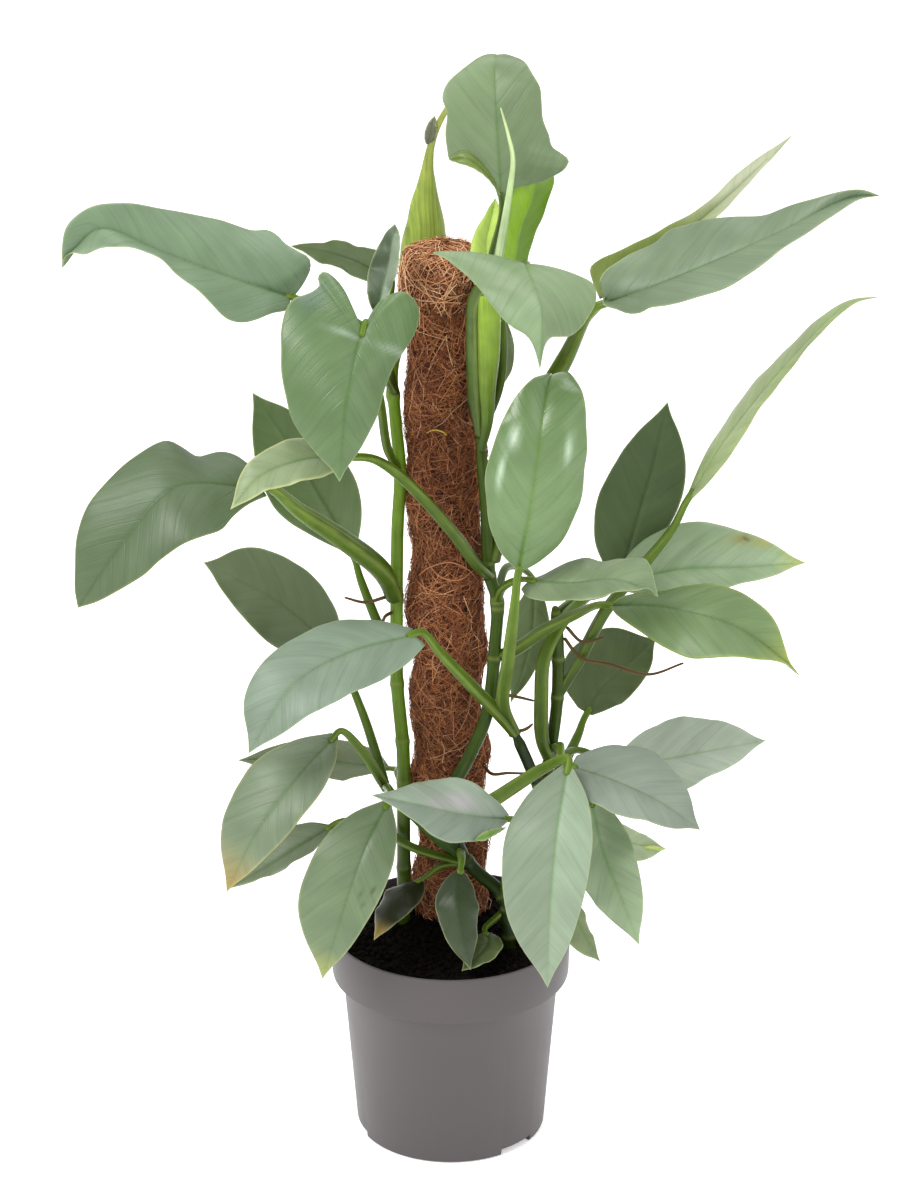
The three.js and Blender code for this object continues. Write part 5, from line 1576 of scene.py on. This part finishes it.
def fibre_tree(material):
    """Strands laid at random over an unrolled sheet, bent, and wrapped round the pole."""
    tree, inputs = open_tree("wrapped_fibres", (
        ("Strands", "NodeSocketInt", 4000), ("Length", "NodeSocketFloat", 0.02),
        ("Thickness", "NodeSocketFloat", 0.0003), ("Lift", "NodeSocketFloat", 0.002),
        ("Wander", "NodeSocketFloat", 0.006), ("Turned", "NodeSocketFloat", 3.1),
        ("Lowest", "NodeSocketFloat", 0.14), ("Highest", "NodeSocketFloat", 0.66),
        ("Seed", "NodeSocketInt", 1),
    ))
    given = add(tree, "NodeGroupInput").outputs
    seed = given["Seed"]
    # Straight strands at random places of the sheet, each turned, scaled and shaded in its own way.
    around = math.tau * POLE_RADIUS * MM
    low = add(tree, "ShaderNodeCombineXYZ", {0: 0.0, 1: given["Lowest"], 2: 0.0})
    high = add(tree, "ShaderNodeCombineXYZ", {0: around, 1: given["Highest"], 2: 0.0})
    spots = add(tree, "FunctionNodeRandomValue", {0: low, 1: high, "Seed": seed}, data_type="FLOAT_VECTOR")
    points = add(tree, "GeometryNodePoints", {"Count": given["Strands"], "Position": spots})
    half = add(tree, "ShaderNodeMath", {0: given["Length"], 1: 0.5}, operation="MULTIPLY")
    back = add(tree, "ShaderNodeMath", {0: half, 1: -1.0}, operation="MULTIPLY")
    start = add(tree, "ShaderNodeCombineXYZ", {0: back})
    end = add(tree, "ShaderNodeCombineXYZ", {0: half})
    line = add(tree, "GeometryNodeCurvePrimitiveLine", {"Start": start, "End": end})
    strand = add(tree, "GeometryNodeResampleCurve", {"Curve": line, "Count": 5})
    turned_back = add(tree, "ShaderNodeMath", {0: given["Turned"], 1: -1.0}, operation="MULTIPLY")
    seeds = [add(tree, "ShaderNodeMath", {0: seed, 1: step}, operation="ADD") for step in (11, 23, 37, 41)]
    angle = add(tree, "FunctionNodeRandomValue", {2: turned_back, 3: given["Turned"], "Seed": seeds[0]},
        data_type="FLOAT").outputs[1]
    size = add(tree, "FunctionNodeRandomValue", {2: 0.45, 3: 1.3, "Seed": seeds[1]},
        data_type="FLOAT").outputs[1]
    turned = add(tree, "ShaderNodeCombineXYZ", {2: angle})
    placed = add(tree, "GeometryNodeInstanceOnPoints",
        {"Points": points, "Instance": strand, "Rotation": turned, "Scale": size})
    shade = add(tree, "FunctionNodeRandomValue", {2: 0.0, 3: 1.0, "Seed": seeds[2]},
        data_type="FLOAT").outputs[1]
    shaded = add(tree, "GeometryNodeStoreNamedAttribute",
        {"Geometry": placed, "Name": "fibre_shade", "Value": shade}, data_type="FLOAT", domain="INSTANCE")
    raised = add(tree, "FunctionNodeRandomValue", {2: -0.4, 3: 1.0, "Seed": seeds[3]},
        data_type="FLOAT").outputs[1]
    lifted = add(tree, "GeometryNodeStoreNamedAttribute",
        {"Geometry": shaded, "Name": "fibre_lift", "Value": raised}, data_type="FLOAT", domain="INSTANCE")
    real = add(tree, "GeometryNodeRealizeInstances", {0: lifted})
    # Each strand bends its own way on the sheet.
    share = add(tree, "GeometryNodeInputNamedAttribute", {"Name": "fibre_shade"}, data_type="FLOAT")
    lift_share = add(tree, "GeometryNodeInputNamedAttribute", {"Name": "fibre_lift"}, data_type="FLOAT")
    here = add(tree, "GeometryNodeInputPosition")
    depth = add(tree, "ShaderNodeMath", {0: share, 1: 3.0}, operation="MULTIPLY")
    aside = add(tree, "ShaderNodeCombineXYZ", {2: depth})
    moved = add(tree, "ShaderNodeVectorMath", {0: here, 1: aside}, operation="ADD")
    noise = add(tree, "ShaderNodeTexNoise", {"Vector": moved, "Scale": 85.0, "Detail": 1.0})
    centred = add(tree, "ShaderNodeVectorMath",
        {0: noise.outputs["Color"], 1: (0.5, 0.5, 0.5)}, operation="SUBTRACT")
    wander = add(tree, "ShaderNodeVectorMath", {0: centred, "Scale": given["Wander"]}, operation="SCALE")
    bent = add(tree, "GeometryNodeSetPosition", {"Geometry": real, "Offset": wander})
    # The turn round the pole, and how far each point lies over its crown.
    sheet = add(tree, "GeometryNodeInputPosition")
    flat = add(tree, "ShaderNodeSeparateXYZ", {0: sheet})
    turn = add(tree, "ShaderNodeMath", {0: flat.outputs[0], 1: POLE_RADIUS * MM}, operation="DIVIDE")
    crown_z = (POLE_TOP[2] - 6) * MM
    above = add(tree, "ShaderNodeMath", {0: flat.outputs[1], 1: crown_z}, operation="SUBTRACT")
    over = add(tree, "ShaderNodeMath", {0: above, 1: 0.0}, operation="MAXIMUM")
    height = add(tree, "ShaderNodeMath", {0: flat.outputs[1], 1: crown_z}, operation="MINIMUM")
    # The pole swells between the turns of its tie.
    tie_rate = math.tau / (POLE_TIE_PITCH * MM)
    tie = add(tree, "ShaderNodeMath", {0: height, 1: tie_rate}, operation="MULTIPLY")
    phase = add(tree, "ShaderNodeMath", {0: turn, 1: tie}, operation="SUBTRACT")
    wound_lump = add(tree, "ShaderNodeMath", {0: phase}, operation="COSINE")
    swell = add(tree, "ShaderNodeMath", {0: wound_lump, 1: POLE_LUMP * MM}, operation="MULTIPLY")
    for turns, rate, bulge, offset in POLE_SWELLS:
        rising = add(tree, "ShaderNodeMath", {0: height, 1: rate / MM, 2: offset}, operation="MULTIPLY_ADD")
        winding = add(tree, "ShaderNodeMath",
            {0: turn, 1: float(turns), 2: rising}, operation="MULTIPLY_ADD")
        ripple = add(tree, "ShaderNodeMath", {0: winding}, operation="SINE")
        swell = add(tree, "ShaderNodeMath", {0: ripple, 1: bulge * MM, 2: swell}, operation="MULTIPLY_ADD")
    free = add(tree, "ShaderNodeMapRange",
        {0: height, 1: POLE_LUMP_FROM * MM, 2: (POLE_LUMP_FROM + POLE_LUMP_RISE) * MM})
    lump = add(tree, "ShaderNodeMath", {0: swell, 1: free}, operation="MULTIPLY")
    # How far each point stands off the pole's middle: less over the crown, where the strands close in.
    lift = add(tree, "ShaderNodeMath", {0: given["Lift"], 1: lift_share, 2: flat.outputs[2]},
        operation="MULTIPLY_ADD")
    bowl = add(tree, "ShaderNodeMath", {0: over, 1: -0.85, 2: (POLE_RADIUS - 0.7) * MM},
        operation="MULTIPLY_ADD")
    raised_lump = add(tree, "ShaderNodeMath", {0: lump, 1: lift}, operation="ADD")
    reach = add(tree, "ShaderNodeMath", {0: raised_lump, 1: bowl}, operation="ADD")
    radial = add(tree, "ShaderNodeMath", {0: reach, 1: 0.0005}, operation="MAXIMUM")
    # The places on the pole, which leans a little.
    tilt = (POLE_TOP[0] - POLE_FOOT[0]) / (POLE_TOP[2] - POLE_FOOT[2])
    middle_low = (POLE_FOOT[0] - tilt * POLE_FOOT[2]) * MM
    middle = add(tree, "ShaderNodeMath", {0: height, 1: tilt, 2: middle_low}, operation="MULTIPLY_ADD")
    cosine = add(tree, "ShaderNodeMath", {0: turn}, operation="COSINE")
    sine = add(tree, "ShaderNodeMath", {0: turn}, operation="SINE")
    x = add(tree, "ShaderNodeMath", {0: cosine, 1: radial, 2: middle}, operation="MULTIPLY_ADD")
    y = add(tree, "ShaderNodeMath", {0: sine, 1: radial, 2: POLE_FOOT[1] * MM}, operation="MULTIPLY_ADD")
    arch = add(tree, "ShaderNodeMath", {0: over, 1: 0.004}, operation="MULTIPLY")
    arched = add(tree, "ShaderNodeMath", {0: arch}, operation="SQRT")
    top = add(tree, "ShaderNodeMath", {0: arched, 1: 0.6, 2: height}, operation="MULTIPLY_ADD")
    near_top = add(tree, "ShaderNodeMath", {0: over, 1: 80.0}, operation="MULTIPLY", use_clamp=True)
    z = add(tree, "ShaderNodeMath", {0: lift, 1: near_top, 2: top}, operation="MULTIPLY_ADD")
    wrapped = add(tree, "ShaderNodeCombineXYZ", {0: x, 1: y, 2: z})
    wound = add(tree, "GeometryNodeSetPosition", {"Geometry": bent, "Position": wrapped})
    # Each strand as a thin solid.
    ring = add(tree, "GeometryNodeCurvePrimitiveCircle", {"Resolution": 3, "Radius": given["Thickness"]})
    solid = add(tree, "GeometryNodeCurveToMesh", {"Curve": wound, "Profile Curve": ring, "Fill Caps": True})
    dressed = add(tree, "GeometryNodeSetMaterial", {"Geometry": solid, "Material": material})
    add(tree, "NodeGroupOutput", {0: dressed})
    return tree, inputs


# Layers of strands: the lower ones lie close, the outer ones stand off, and pale ones gather at the top.
FIBRE_LAYERS = (
    ("coir_strands", coir_strand,
        {"Strands": 7400, "Length": 0.022, "Thickness": 0.00026, "Lift": 0.0012, "Seed": 3}),
    ("coir_outer_strands", coir_strand,
        {"Strands": 7000, "Length": 0.026, "Thickness": 0.00022, "Lift": 0.0026, "Seed": 14}),
    ("coir_stray_strands", pale_strand,
        {"Strands": 420, "Length": 0.036, "Thickness": 0.00024, "Lift": 0.0036, "Wander": 0.012,
            "Seed": 8}),
    ("coir_top_strands", pale_strand,
        {"Strands": 520, "Length": 0.026, "Thickness": 0.00036, "Lift": 0.003, "Lowest": 0.615,
            "Highest": 0.66, "Seed": 21}),
)
for name, material, settings in FIBRE_LAYERS:
    settle(run_tree(name, *fibre_tree(material), settings), "coir_wrap")

# A loop of twine across the front of the pole, and loose loops of pale fibre.
TWINE_LOOPS = (
    ("twine_tie", tie_twine, 0.7, [[-16, 4, 524], [-11, 2, 527], [-5, 1, 526], [-2, 2.5, 523]]),
    ("fibre_loop_1", pale_strand, 0.4,
        [[-22, 4, 420], [-14, -5, 430], [0, -6, 434], [12, -4, 428], [18, 4, 418]]),
    ("fibre_loop_2", pale_strand, 0.4, [[-18, 2, 436], [-8, -5, 424], [6, -6, 421], [16, 0, 426]]),
    ("fibre_loop_3", pale_strand, 0.4,
        [[-28, 8, 630], [-18, -2, 634], [-6, -4, 632], [4, -3, 636], [10, 2, 640]]),
)
for name, material, thickness, route in TWINE_LOOPS:
    points, faces, places = tube(smooth_path(route), [thickness * 0.7, thickness, thickness * 0.7], 8)
    put_piece(name, points, faces, [material], "coir_wrap")


# Studio

WORLD_LIGHT = 1.02
FLOOR_GLOW = 0.35
FLOOR_REACH = 9.0
FLOOR_DROP = 0.0005
# Lamps, in metres and watts: name, place, width and power.
LAMP_AIM = (0.0, 0.0, 0.4)
LAMPS = (
    ("key_lamp", (-1.3, -1.5, 2.6), 1.4, 58),
    ("fill_lamp", (1.8, -1.6, 1.8), 1.8, 12),
    ("top_lamp", (0.2, 0.6, 2.9), 1.6, 26),
)
# The camera's place, how far it looks down in degrees, and its focal length in pixels of the photo.
CAMERA_PLACE = (6.7, -2500, 1445)
CAMERA_PITCH = 22.61
CAMERA_FOCUS = 3957
PHOTO_WIDTH = 920
SENSOR_WIDTH = 36


def lit_floor():
    """A white floor that glows a little, as a lit table does, so that no shadow shows on it."""
    material, tree = new_material("white_studio_floor")
    white = linear("#ffffff")
    finish_material(tree,
        {"Base Color": white, "Roughness": 0.9, "Emission Color": white, "Emission Strength": FLOOR_GLOW})
    return material


def make_studio():
    """A pale floor under plain soft light, and the camera of the photograph."""
    mesh = bpy.data.meshes.new("studio_floor")
    corners = ((-1, -1), (1, -1), (1, 1), (-1, 1))
    mesh.from_pydata([(x * FLOOR_REACH, y * FLOOR_REACH, 0) for x, y in corners], [], [(0, 1, 2, 3)])
    mesh.materials.append(lit_floor())
    floor = bpy.data.objects.new("studio_floor", mesh)
    floor.location.z = -FLOOR_DROP
    bpy.context.scene.collection.objects.link(floor)
    world = bpy.data.worlds.new("soft_white_room")
    world.use_nodes = True
    background = world.node_tree.nodes["Background"]
    background.inputs["Color"].default_value = (1, 1, 1, 1)
    background.inputs["Strength"].default_value = WORLD_LIGHT
    bpy.context.scene.world = world
    for name, place, size, power in LAMPS:
        light = bpy.data.lights.new(name, "AREA")
        light.shape = "DISK"
        light.size = size
        light.energy = power
        lamp = bpy.data.objects.new(name, light)
        lamp.location = place
        lamp.rotation_euler = (Vector(LAMP_AIM) - Vector(place)).to_track_quat("-Z", "Y").to_euler()
        bpy.context.scene.collection.objects.link(lamp)
    lens = bpy.data.cameras.new("photo_camera")
    lens.sensor_fit = "HORIZONTAL"
    lens.sensor_width = SENSOR_WIDTH
    lens.lens = SENSOR_WIDTH * CAMERA_FOCUS / PHOTO_WIDTH
    lens.clip_end = 50
    camera = bpy.data.objects.new("photo_camera", lens)
    camera.location = [c * MM for c in CAMERA_PLACE]
    camera.rotation_euler = (math.radians(90 - CAMERA_PITCH), 0, 0)
    bpy.context.scene.collection.objects.link(camera)
    bpy.context.scene.camera = camera
    view = bpy.context.scene.view_settings
    view.view_transform = "Standard"
    view.look = "None"


make_studio()

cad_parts["pole_stick"].data.materials.clear()
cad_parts["pole_stick"].data.materials.append(stick_wood)
